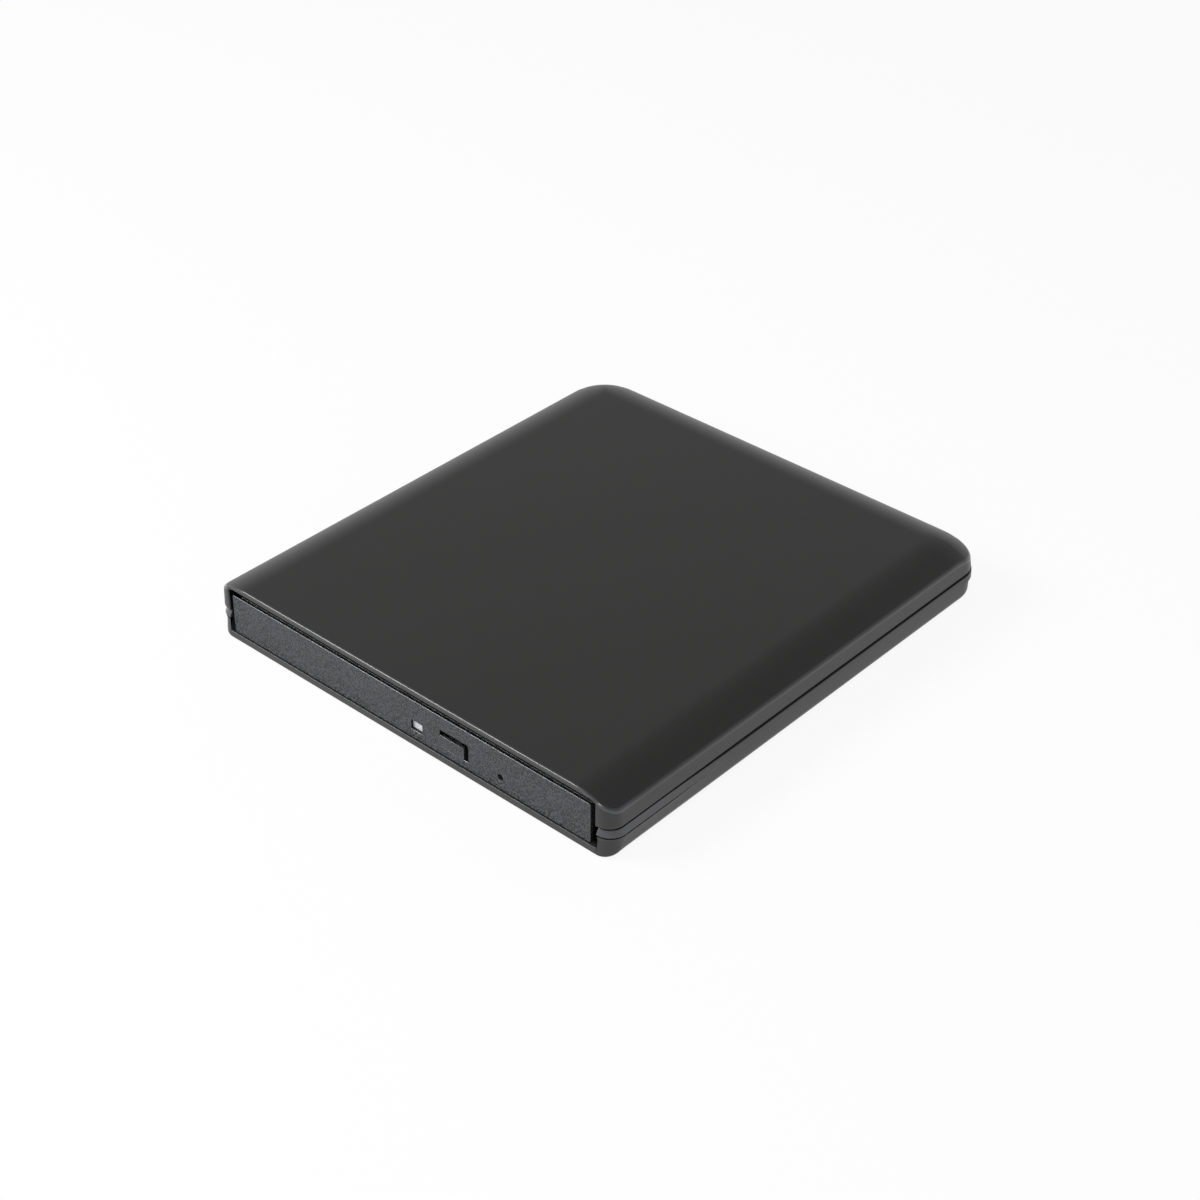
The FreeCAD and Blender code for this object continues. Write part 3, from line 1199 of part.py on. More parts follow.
def make_feed():
    """Feed motor, its screw and the bracket that carries both ends."""
    at = (-dim.screw_side, screw_level)
    motor_end = screw_start - 2 * dim.chassis_thick
    can = rod("motor_can", dim.motor_radius, motor_end - dim.screw_side, motor_end, at, "x")
    keep(place_traverse(group("motor", [can])), "feed_motor")
    pieces = [
        rod("screw_core", dim.screw_radius, screw_start, screw_end, at, "x"),
        rod("screw_journal0", dim.journal_radius, motor_end + dim.running_play, screw_start, at, "x"),
        rod("screw_journal1", dim.journal_radius, screw_end, shaft_end - 1.5 * dim.chassis_thick, at, "x"),
    ]
    keep(place_traverse(join("screw_whole", pieces)), "feed_screw")
    low = screw_level - dim.motor_radius
    wide = dim.motor_radius * 0.8
    v0, v1 = -dim.screw_side - wide, -dim.screw_side + wide
    thick = 0.8 * dim.chassis_thick
    start, end = motor_end, screw_end + dim.fit_gap
    strip = box("bracket_strip", (start, v0, low), (end + thick, v1, low + thick / 2))
    ends = [
        box("bracket_end0", (start, v0, low), (start + thick, v1, chassis_level)),
        box("bracket_end1", (end, v0, low), (end + thick, v1, chassis_level)),
    ]
    past = dim.cut_past
    bore = rod("bracket_bore", dim.journal_radius + dim.running_play, start - past, end + 2 * past, at, "x")
    keep(place_traverse(cut("bracket", join("bracket_solid", [strip] + ends), [bore])), "feed_bracket")


# Latch, ejector and electrics

latch_side = dim.catch_side - dim.latch_reach
latch_y = catch_y - dim.latch_back
latch_low = tray_skirt + 0.8 * dim.board_thick
solenoid_right = latch_side - 5.5 * dim.board_thick
ejector_x = -dim.ejector_side


def make_latch():
    """Catch pin on the pan, hook and its pivot on the drawer, and the solenoid."""
    pin = rod("pin", dim.catch_radius, floor_top + dim.catch_height, rail_level, (catch_x, catch_y))
    keep(pin, "catch_pin")
    radius = dim.catch_radius
    pivot = rod("pivot", radius, latch_low - dim.fit_gap, plate_low, (latch_side, latch_y))
    keep(pivot, "latch_pivot")
    hook = new_body("hook")
    jaw = dim.latch_back + radius + dim.fit_gap
    reach = dim.latch_reach + radius
    arm = radius * 1.8
    extrude(hook, "Pad", "XY_Plane", latch_low, latch_low + dim.board_thick, [[
        (-arm, -2 * arm), (arm, -2 * arm), (arm, jaw), (reach, jaw), (reach - radius, jaw + radius * 1.7),
        (-arm, jaw + radius * 1.7)]], [])
    extrude(hook, "Pocket", "XY_Plane", latch_low, latch_low + dim.board_thick,
            circles=[(0, 0, radius + dim.running_play)])
    hook.Placement = Placement(Vector(), Rotation(Vector(0, 0, 1), float(dim.latch_release)))
    put(hook, latch_side, latch_y, 0)
    bind(hook, ".Placement.Rotation.Angle", dim.latch_release)
    keep(hook, "latch_hook")
    length = 1.5 * dim.latch_back
    coil = box("coil_block", (solenoid_right - length, latch_y - length / 2, latch_low),
               (solenoid_right, latch_y + length / 2, plate_low))
    keep(coil, "latch_solenoid")


def make_ejector():
    """Sprung plunger that starts the drawer on its way."""
    radius, level = dim.catch_radius, rail_level + 2 * dim.catch_radius
    end = tray_back - dim.fit_gap
    start = end - 2 * dim.latch_back
    plunger = rod("plunger", radius, start, end, (ejector_x, level), "y")
    keep(plunger, "ejector_plunger")
    wide = 2.4 * radius
    block = box("plunger_block", (ejector_x - wide, start + 2 * dim.board_thick, level - wide),
                (ejector_x + wide, start + dim.latch_back, plate_low))
    bore = rod("plunger_bore", radius, start, end, (ejector_x, level), "y")
    keep(cut("plunger_guide", block, [bore]), "ejector_guide")
    coil_end = end - 2 * dim.board_thick
    outside = rod("spring_outside", 2 * radius, start + dim.latch_back, coil_end, (ejector_x, level), "y")
    inside = rod("spring_inside", radius, start, end + dim.cut_past, (ejector_x, level), "y")
    keep(cut("spring_tube", outside, [inside]), "ejector_spring")


chip_shares = (0.08, 0.45, 0.72)


def make_main_board():
    """Board on the pan's floor with its chips, connector and flat cable."""
    top = floor_top + 0.8 * dim.board_thick
    left, right = -0.8 * case_half, catch_x - 6 * dim.catch_radius
    keep(box("pan_board", (left, board_front, floor_top), (right, board_back, top)), "main_board")
    chips = []
    front_edge = board_front + dim.chip_inset
    for i, share in enumerate(chip_shares):
        x = left + (right - left) * share
        wide = dim.main_chip + dim.main_chip_step * (1 - i)
        chips.append(box(f"chip{i}", (x, front_edge, top),
                         (x + wide, front_edge + wide, top + dim.chip_height)))
    keep(group("chips", chips), "main_board_chips")
    connector = box("plug_block", (connector_left + dim.fit_gap, case_back - dim.connector_depth, top),
                    (connector_right - dim.fit_gap, case_back + dim.connector_out,
                     top + dim.connector_height))
    keep(connector, "drive_connector")
    body = new_body("ribbon")
    ply = dim.fit_gap / 2
    near, far = board_front, board_front - dim.ribbon_reach
    low = floor_top
    end = near - dim.chip_inset
    extrude(body, "Pad", "YZ_Plane", dim.ribbon_left, dim.ribbon_left + dim.ribbon_width, [[
        (near, low), (near, low + ply), (far + ply, low + ply), (far + ply, low + 2 * ply),
        (end, low + 2 * ply), (end, low + 3 * ply), (far, low + 3 * ply), (far, low)]])
    keep(body, "flex_cable")


def make_bridge():
    """Bridge board behind the steel case, with its chips, drive socket and plug socket."""
    low, top = bridge_level, socket_low
    edge = dim.post_side + dim.post_half
    body = box("rear_board", (-edge, bridge_front, low), (edge, bridge_back, top))
    keep(body, "bridge_board")
    plug_low = floor_top + 0.8 * dim.board_thick
    socket = box("drive_side_block", (connector_left + dim.fit_gap, case_back + dim.connector_out, top),
                 (connector_right - dim.fit_gap, bridge_front + dim.connector_depth / 2,
                  plug_low + dim.connector_height))
    keep(socket, "bridge_connector")
    chips = []
    front_edge = bridge_front + dim.chip_inset
    for i, x in enumerate((dim.post_side / 4, dim.post_side / 1.6)):
        wide = dim.bridge_chip
        chips.append(box(f"bridge_chip{i}", (x, front_edge, top),
                         (x + wide, front_edge + wide, top + dim.chip_height)))
    keep(group("rear_chips", chips), "bridge_chips")
    wall = dim.socket_wall
    rear = back - dim.lip_step - dim.lower_inset - dim.fit_gap
    outer = socket_block("outer", 0, rear - dim.socket_depth, rear)
    hollow = socket_block("hollow", wall, rear - dim.socket_depth + 3 * wall, rear + dim.cut_past)
    tongue = box("tongue", (dim.socket_side - dim.socket_width / 3, rear - dim.socket_depth + 3 * wall,
                            socket_low + dim.socket_height / 2 - wall),
                 (dim.socket_side + dim.socket_width / 3, rear - 2 * wall,
                  socket_low + dim.socket_height / 2 + wall))
    keep(cut("socket_shell", outer, [hollow]), "plug_socket")
    keep(tongue, "socket_tongue")


def socket_block(name, inset, start, end):
    """A flat block with half-round sides: the plug socket's outside or hollow."""
    body = new_body(f"socket_{name}")
    radius = dim.socket_height / 2 - inset
    middle = socket_low + dim.socket_height / 2
    straight = dim.socket_width / 2 - dim.socket_height / 2
    x = dim.socket_side
    extrude(body, "Pad", "XZ_Plane", start, end,
            [rectangle(x - straight, middle - radius, x + straight, middle + radius)])
    for side in (-1, 1):
        extrude(body, "Pad", "XZ_Plane", start, end, circles=[(x + side * straight, middle, radius)])
    return body


def check_and_write():
    """Stop if anything failed, then write each piece to its own file."""
    doc.recompute()
    for thing in doc.Objects:
        if "Invalid" in thing.State or "Error" in thing.State:
            raise RuntimeError(f"{thing.Name} did not recompute: {thing.State}")
    os.makedirs("parts", exist_ok=True)
    for thing in parts:
        shape = thing.Shape
        if shape.isNull() or not shape.isValid():
            raise RuntimeError(f"{thing.Label} has no valid shape")
        shape.exportStep(f"parts/{thing.Label}.step")
        print(f"{thing.Label}: {len(shape.Solids)} solid(s), {shape.Volume:.1f} mm3")
    print(f"{len(parts)} pieces")


make_top_cover()
make_bottom_cover()
make_feet()
make_pads()
make_pan()
make_lid()
make_rails()
make_tray()
make_bezel()
make_led_window()
make_button()
make_shield()
make_traverse_cover()
make_chassis()
make_dampers()
make_shafts()
make_spindle()
make_hub()
make_pickup()
make_feed()
make_latch()
make_ejector()
make_main_board()
make_bridge()
check_and_write()
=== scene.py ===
# %% [markdown]
# # Dressing a slim external disc drive
#
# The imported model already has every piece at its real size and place, so this
# lesson only adds looks. It loads the model, makes finer copies of the pieces
# that the eye rests on, gives every piece a finish, and sets light and camera.

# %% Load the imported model
import json
import math

import bmesh
import bpy
import numpy as np
from mathutils import Matrix, Vector


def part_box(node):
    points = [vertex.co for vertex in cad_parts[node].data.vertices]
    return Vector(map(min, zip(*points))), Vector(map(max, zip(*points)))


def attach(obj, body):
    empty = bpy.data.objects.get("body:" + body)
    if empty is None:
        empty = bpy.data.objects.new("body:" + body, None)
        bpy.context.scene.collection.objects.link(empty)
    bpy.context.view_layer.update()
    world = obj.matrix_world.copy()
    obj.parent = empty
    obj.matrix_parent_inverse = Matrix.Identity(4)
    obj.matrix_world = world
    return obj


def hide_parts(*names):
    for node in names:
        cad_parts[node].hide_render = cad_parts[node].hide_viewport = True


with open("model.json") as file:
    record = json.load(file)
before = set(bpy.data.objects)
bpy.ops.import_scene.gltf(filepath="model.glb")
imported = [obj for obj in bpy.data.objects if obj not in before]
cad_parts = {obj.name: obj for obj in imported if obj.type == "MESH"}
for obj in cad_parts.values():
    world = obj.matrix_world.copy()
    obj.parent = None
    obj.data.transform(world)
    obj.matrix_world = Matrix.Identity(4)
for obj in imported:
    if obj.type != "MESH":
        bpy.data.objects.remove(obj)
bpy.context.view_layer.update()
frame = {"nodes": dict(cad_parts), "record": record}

MM = 0.001
scene = bpy.context.scene
nodes = frame["nodes"]
print("pieces in the model:", len(nodes))

# %% [markdown]
# ## The camera
#
# A photograph fixes where the camera stood: the drive's corners and creases give
# its direction, its distance and the lens. Blender wants a rotation, so the three
# axes of the camera are worked out from an azimuth, an elevation and a small roll.

# %% Camera
camera_place = Vector((0.3410, -0.38825, 0.3667))
camera_azimuth = math.radians(41.474)
camera_elevation = math.radians(35.086)
camera_roll = math.radians(0.545)
lens_length = 69.55


def camera_axes(azimuth, elevation, roll):
    """The camera's right, up and backward directions."""
    backward = Vector((math.sin(azimuth) * math.cos(elevation),
                       -math.cos(azimuth) * math.cos(elevation), math.sin(elevation)))
    right = Vector((math.cos(azimuth), math.sin(azimuth), 0))
    up = backward.cross(right)
    turned_right = right * math.cos(roll) + up * math.sin(roll)
    turned_up = up * math.cos(roll) - right * math.sin(roll)
    return turned_right, turned_up, backward


def make_camera():
    """A camera where the photographer stood."""
    data = bpy.data.cameras.new("camera")
    data.lens = lens_length
    data.clip_start = 0.01
    data.clip_end = 20
    camera = bpy.data.objects.new("camera", data)
    axes = camera_axes(camera_azimuth, camera_elevation, camera_roll)
    rotation = Matrix(axes).transposed().to_4x4()
    camera.matrix_world = Matrix.Translation(camera_place) @ rotation
    scene.collection.objects.link(camera)
    scene.camera = camera
    print("camera", round(camera_place.length, 3), "m from the middle of the case")


make_camera()

# %% [markdown]
# ## Places that the pieces share
#
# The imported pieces' boxes give the places, so nothing is measured twice. Only the
# curves of the mouldings, which a box can't tell, are written here as sizes.

# %% Shared places
bottom_low, bottom_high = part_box("bottom_cover")
top_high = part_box("top_cover")[1]
front = bottom_low.y
back = bottom_high.y
lip_half = bottom_high.x
side_half = top_high.x
shell_low = bottom_low.z
shell_top = top_high.z
bezel_low, bezel_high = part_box("bezel")
case_half = bezel_high.x

parting = shell_low + 8.6 * MM
shadow_gap = 0.45 * MM
cover_low = parting + shadow_gap
roll_radius = 20.0 * MM
roll_drop = 3.85 * MM
roll_corner = 12.3 * MM
side_bulge = 0.25 * MM
lower_inset = 0.15 * MM
lip_step = 0.4 * MM
lip_height = 2.3 * MM
under_round = 2.8 * MM
front_corner = 4.5 * MM
back_corner = 8.0 * MM
cover_wall = 1.8 * MM
opening_half = case_half + 1.0 * MM
opening_top = shell_top - 1.55 * MM
sill = shell_low + 2.2 * MM
sill_gap = 0.5 * MM
crease_round = 0.70 * MM
edge_round = 0.25 * MM
edge_shares = (1.0, 0.6, 0.3, 0.1, 0.0)
print("case", round((back - front) / MM, 1), "mm deep,", round(2 * lip_half / MM, 1), "mm wide")

# %% [markdown]
# ## The covers as rings
#
# A moulded cover is a skin that follows one outline. Seen from above, that outline
# is a rectangle with small corners at the front and larger ones at the back. The
# mesh is a stack of rings of that outline, each a little further in or up. All
# rings have the same columns, so neighbouring rings join with plain quads. Where
# the bezel's opening breaks the front, the columns between its sides stop at the
# opening's edge, which keeps the mesh closed without a cut.

# %% Columns round the outline
corner_steps = 14
side_steps = 44
jamb_zone = 8 * MM
step_spacing = 0.8 * MM
reach = roll_radius - math.sqrt(roll_radius ** 2 - (roll_radius - roll_drop) ** 2)
crease_half = side_half - side_bulge
back_crease = back - side_bulge - lip_step


def front_columns():
    """Places along the front, from left to right; the opening's sides come twice."""
    inner = np.linspace(0, opening_half - jamb_zone, 8)
    dense_start = opening_half - jamb_zone + step_spacing
    dense = np.arange(dense_start, opening_half - edge_round, step_spacing)
    right = [(x, True, False) for x in np.concatenate([inner, dense])]
    right.append((opening_half, True, True))
    right.append((opening_half, False, True))
    right.append((side_half - front_corner, False, False))
    left = [(-x, opened, step) for x, opened, step in reversed(right[1:])]
    return left + right


def make_columns():
    """All columns, anticlockwise from the front's left end."""
    columns = [("front", x, opened, step) for x, opened, step in front_columns()]
    turns = [("corner", -90, 0), ("side", 1, 0), ("corner", 0, 90), ("rear", 0, 0),
             ("corner", 90, 180), ("side", -1, 0), ("corner", 180, 270)]
    for kind, start, end in turns:
        if kind == "corner":
            for degrees in np.linspace(start, end, corner_steps)[1:-1]:
                columns.append(("corner", degrees, False, False))
        else:
            for share in np.linspace(0, 1, side_steps):
                place = share if start >= 0 and kind == "side" else 1 - share
                columns.append((kind, (start, place) if kind == "side" else place, False, False))
    return columns


columns = make_columns()
opened = np.array([c[2] for c in columns])
print("columns round the outline:", len(columns))


def on_circle(x, y, radius, degrees):
    """A point of a circle."""
    angle = math.radians(degrees)
    return x + radius * math.cos(angle), y + radius * math.sin(angle)


def plan_points(half, face, rear, front_r, back_r, step_x=0.0):
    """The outline's points for one ring, from its half width, front and back."""
    front_r, back_r = max(front_r, 0.0), max(back_r, 0.0)
    points = []
    for kind, value, _, is_step in columns:
        if kind == "front":
            limit = half - front_r
            x = value + math.copysign(step_x, value) if is_step else value
            points.append((min(max(x, -limit), limit), face))
        elif kind == "corner":
            at_front = value < 0 or value > 180
            radius = front_r if at_front else back_r
            side = 1 if value < 90 else -1
            centre_y = face + radius if at_front else rear - radius
            points.append(on_circle(side * (half - radius), centre_y, radius, value))
        elif kind == "side":
            side, share = value
            points.append((side * half, (face + front_r) * (1 - share) + (rear - back_r) * share))
        else:
            points.append(((half - back_r) * (2 * value - 1), rear))
    return np.array(points)


def rolled_height(points):
    """Height of the outside of the top at points of the plan."""
    radius = roll_corner + reach
    beside = np.abs(points[:, 0]) - (crease_half + reach - radius)
    behind = points[:, 1] - (back_crease + reach - radius)
    corner = radius - np.hypot(np.maximum(beside, 0), np.maximum(behind, 0))
    straight = np.minimum(radius - beside, radius - behind)
    inside = np.where((beside > 0) & (behind > 0), corner, straight)
    past = np.clip(roll_radius - inside, 0, roll_radius)
    return shell_top - (roll_radius - np.sqrt(roll_radius ** 2 - past ** 2))


# %% [markdown]
# A stack of rings becomes a mesh: quads between neighbouring rings and one flat
# face at each end. Columns that meet at a corner are merged afterwards.

# %% Rings to a mesh
def new_piece(name, mesh):
    """An object at the origin for a finished mesh."""
    piece = bpy.data.objects.new(name, mesh)
    scene.collection.objects.link(piece)
    return piece


painted = []


def dress(piece, body, slot, node=None):
    """Say which body a piece rides on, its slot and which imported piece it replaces."""
    steady = piece.modifiers.new("steady shading", "WEIGHTED_NORMAL")
    steady.keep_sharp = True
    if node:
        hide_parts(node)
    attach(piece, body)
    painted.append((piece, slot))


def clean_mesh(name, grid):
    """A closed mesh from a bmesh, merged, facing outwards and smooth but for its edges."""
    bmesh.ops.remove_doubles(grid, verts=grid.verts, dist=2e-6)
    bmesh.ops.dissolve_degenerate(grid, edges=grid.edges, dist=1e-7)
    if grid.calc_volume(signed=True) < 0:
        bmesh.ops.reverse_faces(grid, faces=grid.faces)
    limit = math.radians(35)
    for face in grid.faces:
        face.smooth = True
    for edge in grid.edges:
        edge.smooth = len(edge.link_faces) == 2 and edge.calc_face_angle(0) < limit
    mesh = bpy.data.meshes.new(name)
    grid.to_mesh(mesh)
    grid.free()
    return mesh


def mark(grid, layer_name, faces, amount=None):
    """Mark faces in a layer, fully or by an amount that depends on the place."""
    layers = grid.loops.layers.float
    layer = layers.get(layer_name) or layers.new(layer_name)
    for face in faces:
        for corner in face.loops:
            corner[layer] = amount(corner.vert.co) if amount else 1.0


def join_rows(grid, lower, upper, gaps=None):
    """Quads between two closed rows of points, but not where both columns are gaps."""
    faces = []
    for i in range(len(lower)):
        after = (i + 1) % len(lower)
        if gaps is None or not (gaps[i] and gaps[after]):
            faces.append(grid.faces.new((lower[i], lower[after], upper[after], upper[i])))
    return faces


def stack_rings(name, rings, polish_and_highlight_bands=(), amount=None, inner=()):
    """A closed solid through rings with the same columns; pairs of rings can be marked polished
    with a painted highlight, or inner with painted shade.
    """
    grid = bmesh.new()
    rows = [[grid.verts.new(point) for point in points] for points in rings]
    bands = [join_rows(grid, lower, upper) for lower, upper in zip(rows, rows[1:])]
    grid.faces.new(rows[-1])
    grid.faces.new(list(reversed(rows[0])))
    # masks for the painted highlight (paler, glossier edges) and the painted shade (near-black
    # inner sides)
    mark(grid, "wear", [face for place in polish_and_highlight_bands for face in bands[place]], amount)
    mark(grid, "inner", [face for place in inner for face in bands[place]])
    mesh = clean_mesh(name, grid)
    print(name, "faces:", len(mesh.polygons))
    return new_piece(name, mesh)


def ring(plan, height):
    """Points of the plan with a height, one number or one for each column."""
    heights = np.broadcast_to(height, (len(plan),))
    return [Vector((x, y, z)) for (x, y), z in zip(plan, heights)]


def edge_drop(share):
    """How far a rounded edge falls at a share of its way in, as a part of its radius."""
    return 1 - math.sqrt(1 - (1 - share) ** 2)


# %% [markdown]
# ## The top cover
#
# From the inside up: the ceiling, the inner wall, the lower edge with its small
# round, the outer wall that leans in a little, the crease with a tight radius that
# catches the light, and the roll-off of 20 mm radius that runs into the flat top.
# The crease is also painted paler as a highlight, and the inside near-black as shade.

# %% Top cover
def top_plan(inset, level, step_x=0.0):
    """The top cover's outline at a level, moved in by an inset."""
    crease_level = shell_top - roll_drop
    lean = side_bulge * min(max((level - cover_low) / (crease_level - cover_low), 0), 1)
    return plan_points(side_half - lean - inset, front + inset,
                       back_crease + side_bulge - lean - inset, front_corner - inset,
                       back_corner - inset, step_x)


ceiling_insets = (26, 14, 11, 8, 5, 3)
roll_insets = np.concatenate([np.linspace(0.8, 14, 34), [18, 26]])
wall_steps, crease_steps = 6, 6


def crease_polish_and_highlight(place):
    """How much the crease is polished and painted paler as a highlight: fully at the front corners,
    half as much elsewhere.
    """
    away = math.hypot(abs(place.x) - side_half, place.y - front)
    nearness = max(0.0, 1 - away / (2.2 * front_corner))
    return 0.5 + 0.5 * nearness ** 0.5


def make_top_cover():
    """The rolled-off upper moulding."""
    low = np.where(opened, opening_top, cover_low)
    rings = []
    for inset in ceiling_insets:
        plan = top_plan(inset * MM, shell_top)
        rings.append(ring(plan, np.maximum(rolled_height(plan) - cover_wall, low + edge_round)))
    inner_plan = top_plan(cover_wall, cover_low)
    rings.append(ring(inner_plan, np.maximum(rolled_height(inner_plan) - cover_wall, low)))
    rings.append(ring(inner_plan, low))
    # the ceiling, inner wall and the lower edge's underside are marked inner: painted near-black as
    # shade
    inside = range(len(rings) + 1)
    for share in edge_shares:
        plan = top_plan(share * edge_round, cover_low, (1 - share) * edge_round)
        rings.append(ring(plan, low + edge_drop(share) * edge_round))
    crease_plan = top_plan(0, shell_top, edge_round)
    crease = rolled_height(crease_plan)
    wall_low = low + edge_round
    wall_high = crease - crease_round
    for share in np.linspace(0, 1, wall_steps + 1)[1:]:
        level = cover_low + share * (shell_top - roll_drop - cover_low)
        plan = top_plan(0, level, edge_round)
        rings.append(ring(plan, wall_low + share * (wall_high - wall_low)))
    below = np.array(rings[-1])
    crease_start = len(rings) - 1
    corner = np.array(ring(crease_plan, crease))
    beside_plan = top_plan(crease_round, shell_top)
    beside = np.array(ring(beside_plan, rolled_height(beside_plan)))
    for share in np.linspace(0, 1, crease_steps + 1)[1:]:
        bend = below * (1 - share) ** 2 + corner * 2 * share * (1 - share) + beside * share ** 2
        rings.append([Vector(point) for point in bend])
    for inset in roll_insets:
        plan = top_plan(inset * MM, shell_top)
        rings.append(ring(plan, rolled_height(plan)))
    # the crease bands are polished and painted paler as a highlight
    creases = range(crease_start, crease_start + crease_steps)
    return stack_rings("top_shell", rings, creases, crease_polish_and_highlight, inside)


top_shell = make_top_cover()
dress(top_shell, "housing", "case_plastic", "top_cover")

# %% [markdown]
# ## The bottom cover
#
# The lower moulding is a tray. Its lip stands 0.4 mm proud along the parting line
# and leans outwards on its way down, so that it catches the light as a pale band,
# which is also painted paler as a highlight. A groove under it draws a fine dark
# line. Both run out a third of the way back. A tongue inside
# the lip closes the shadow gap, as on the real case.

# %% Bottom cover
def bottom_plan(inset, front_inset=0.0, step_x=0.0):
    """The bottom cover's outline; the front has its own inset and a wider opening."""
    return plan_points(side_half - lower_inset - inset, front + front_inset,
                       back - lip_step - lower_inset - inset, front_corner - inset,
                       back_corner - inset, step_x + sill_gap)


lip_inset = -(lip_step + lower_inset)
lip_round = 0.2 * MM
lip_lean = 0.75 * MM
lip_dip = 0.45 * MM
lip_start, lip_end = front + 14 * MM, front + 50 * MM
groove_depth, groove_height = 0.40 * MM, 0.40 * MM
flare = 0.40 * MM
strip_round = 0.5 * MM
floor_thick = 1.5 * MM
bottom_middle = 20 * MM


def lip_plan(inset, step_x, sill_inset=0.0):
    """The lip's outline, moved in; beside the opening its front moves in too."""
    plain = bottom_plan(lip_inset + inset, sill_inset, step_x)
    leaning = bottom_plan(lip_inset + inset, inset, step_x)
    return np.where(opened[:, None], plain, leaning)


def front_share(depth):
    """How much of the lip's own shape is left: all in front, none behind, with soft ends."""
    share = np.clip((lip_end - depth) / (lip_end - lip_start), 0, 1)
    return share * share * (3 - 2 * share)


def fading(near, far):
    """One outline near the front that runs out into another along the sides."""
    share = front_share(near[:, 1])[:, None]
    return near * share + far * (1 - share)


def lip_polish_and_highlight(place):
    """Full polish and painted highlight on the lip near the front, none behind and little on the
    sill.
    """
    if place.z < parting - lip_height - 0.1 * MM:
        return 0.2
    return float(front_share(place.y))


def make_bottom_cover():
    """The lower moulding."""
    high = np.where(opened, sill, parting - front_share(bottom_plan(0)[:, 1]) * lip_dip)
    lip_low = parting - lip_height
    middle = bottom_plan(bottom_middle, bottom_middle)
    inner = bottom_plan(cover_wall, cover_wall)
    floor = shell_low + floor_thick
    rings = [ring(middle, floor), ring(inner, floor), ring(inner, high)]
    # the floor and inner wall are marked inner: painted near-black as shade
    inside = range(len(rings) - 1)
    lip_edge = range(len(rings), len(rings) + len(edge_shares))
    for share in edge_shares:
        inset, step_x = share * lip_round, (1 - share) * lip_round
        plan = fading(lip_plan(lip_lean + inset, step_x, inset),
                      lip_plan(0.1 * MM + inset, step_x, inset))
        rings.append(ring(plan, high - edge_drop(share) * lip_round))
    wall = lip_plan(-lip_inset, lip_round)
    outside = [(lip_plan(part_in * lip_round, lip_round), lip_low + part_up * lip_round)
               for part_in, part_up in ((0.0, 1.0), (0.3, 0.3), (1.0, 0.0))]
    for inset, drop in ((groove_depth, 0.02 * MM), (groove_depth, groove_height),
                        (-flare, 1.1 * groove_height), (-flare / 2, 1.6 * MM)):
        outside.append((fading(lip_plan(inset - lip_inset, lip_round), wall), lip_low - drop))
    for degrees in np.linspace(90, 0, 9):
        angle = math.radians(degrees)
        away, up = 1 - math.sin(angle), 1 - math.cos(angle)
        plan = bottom_plan(under_round * away, strip_round * away, lip_round)
        depth = np.clip((plan[:, 1] - front) / front_corner, 0, 1)
        rise = strip_round * up * (1 - depth) + under_round * up * depth
        outside.append((plan, shell_low + rise))
    for plan, level in outside:
        rings.append(ring(plan, np.minimum(level, high - lip_round)))
    rings.append(ring(middle, shell_low))
    return stack_rings("bottom_shell", rings, lip_edge, lip_polish_and_highlight, inside)


def make_tongue():
    """The ring behind the shadow gap."""
    low = parting - 1.2 * MM
    high = np.where(opened, low, parting + 1.95 * MM)
    inner, outer = (bottom_plan(inset, inset) for inset in (2.4 * MM, 1.75 * MM))
    rings = [ring(inner, low), ring(inner, high), ring(outer, high), ring(outer, low)]
    grid = bmesh.new()
    rows = [[grid.verts.new(point) for point in points] for points in rings]
    for lower, upper in zip(rows, rows[1:] + rows[:1]):
        join_rows(grid, lower, upper, opened)
    bmesh.ops.holes_fill(grid, edges=[e for e in grid.edges if e.is_boundary], sides=4)
    return new_piece("gap_tongue", clean_mesh("gap_tongue", grid))


bottom_shell = make_bottom_cover()
gap_tongue = make_tongue()

# %% [markdown]
# The feet sit in round recesses and the plug socket shows through a cut-out in the
# back wall. Both are cut with a Boolean modifier, whose result becomes the mesh.

# %% Recesses and cut-out
def prism(name, outline, low, high):
    """A closed prism over points of the plan."""
    return stack_rings(name, [ring(outline, low), ring(outline, high)])


def circle_outline(x, y, radius):
    """Points round a circle."""
    return [on_circle(x, y, radius, degrees) for degrees in np.linspace(0, 360, 41)[:-1]]


def plain_mesh(thing):
    """The thing's mesh with its modifiers worked in."""
    graph = bpy.context.evaluated_depsgraph_get()
    return bpy.data.meshes.new_from_object(thing.evaluated_get(graph))


def carve(piece, cutters):
    """Take closed cutters out of a piece."""
    for cutter in cutters:
        tool = piece.modifiers.new(cutter.name, "BOOLEAN")
        tool.operation = "DIFFERENCE"
        tool.solver = "EXACT"
        tool.object = cutter
    grid = bmesh.new()
    grid.from_mesh(plain_mesh(piece))
    piece.modifiers.clear()
    piece.data = clean_mesh(piece.name, grid)
    for cutter in cutters:
        bpy.data.objects.remove(cutter)
    print(piece.name, "after cutting:", len(piece.data.polygons), "faces")


foot_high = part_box("rubber_feet")[1]
recess_radius, recess_depth, foot_play = 5.0 * MM, 0.6 * MM, 0.1 * MM
foot_x = foot_high.x - recess_radius + foot_play
foot_y = foot_high.y - recess_radius + foot_play
socket_low, socket_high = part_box("plug_socket")
port_play = 0.6 * MM
cut_past = 1 * MM
cutters = [prism("foot_recess", circle_outline(x, y, recess_radius), shell_low - cut_past,
                 shell_low + recess_depth)
           for x in (-foot_x, foot_x) for y in (-foot_y, foot_y)]


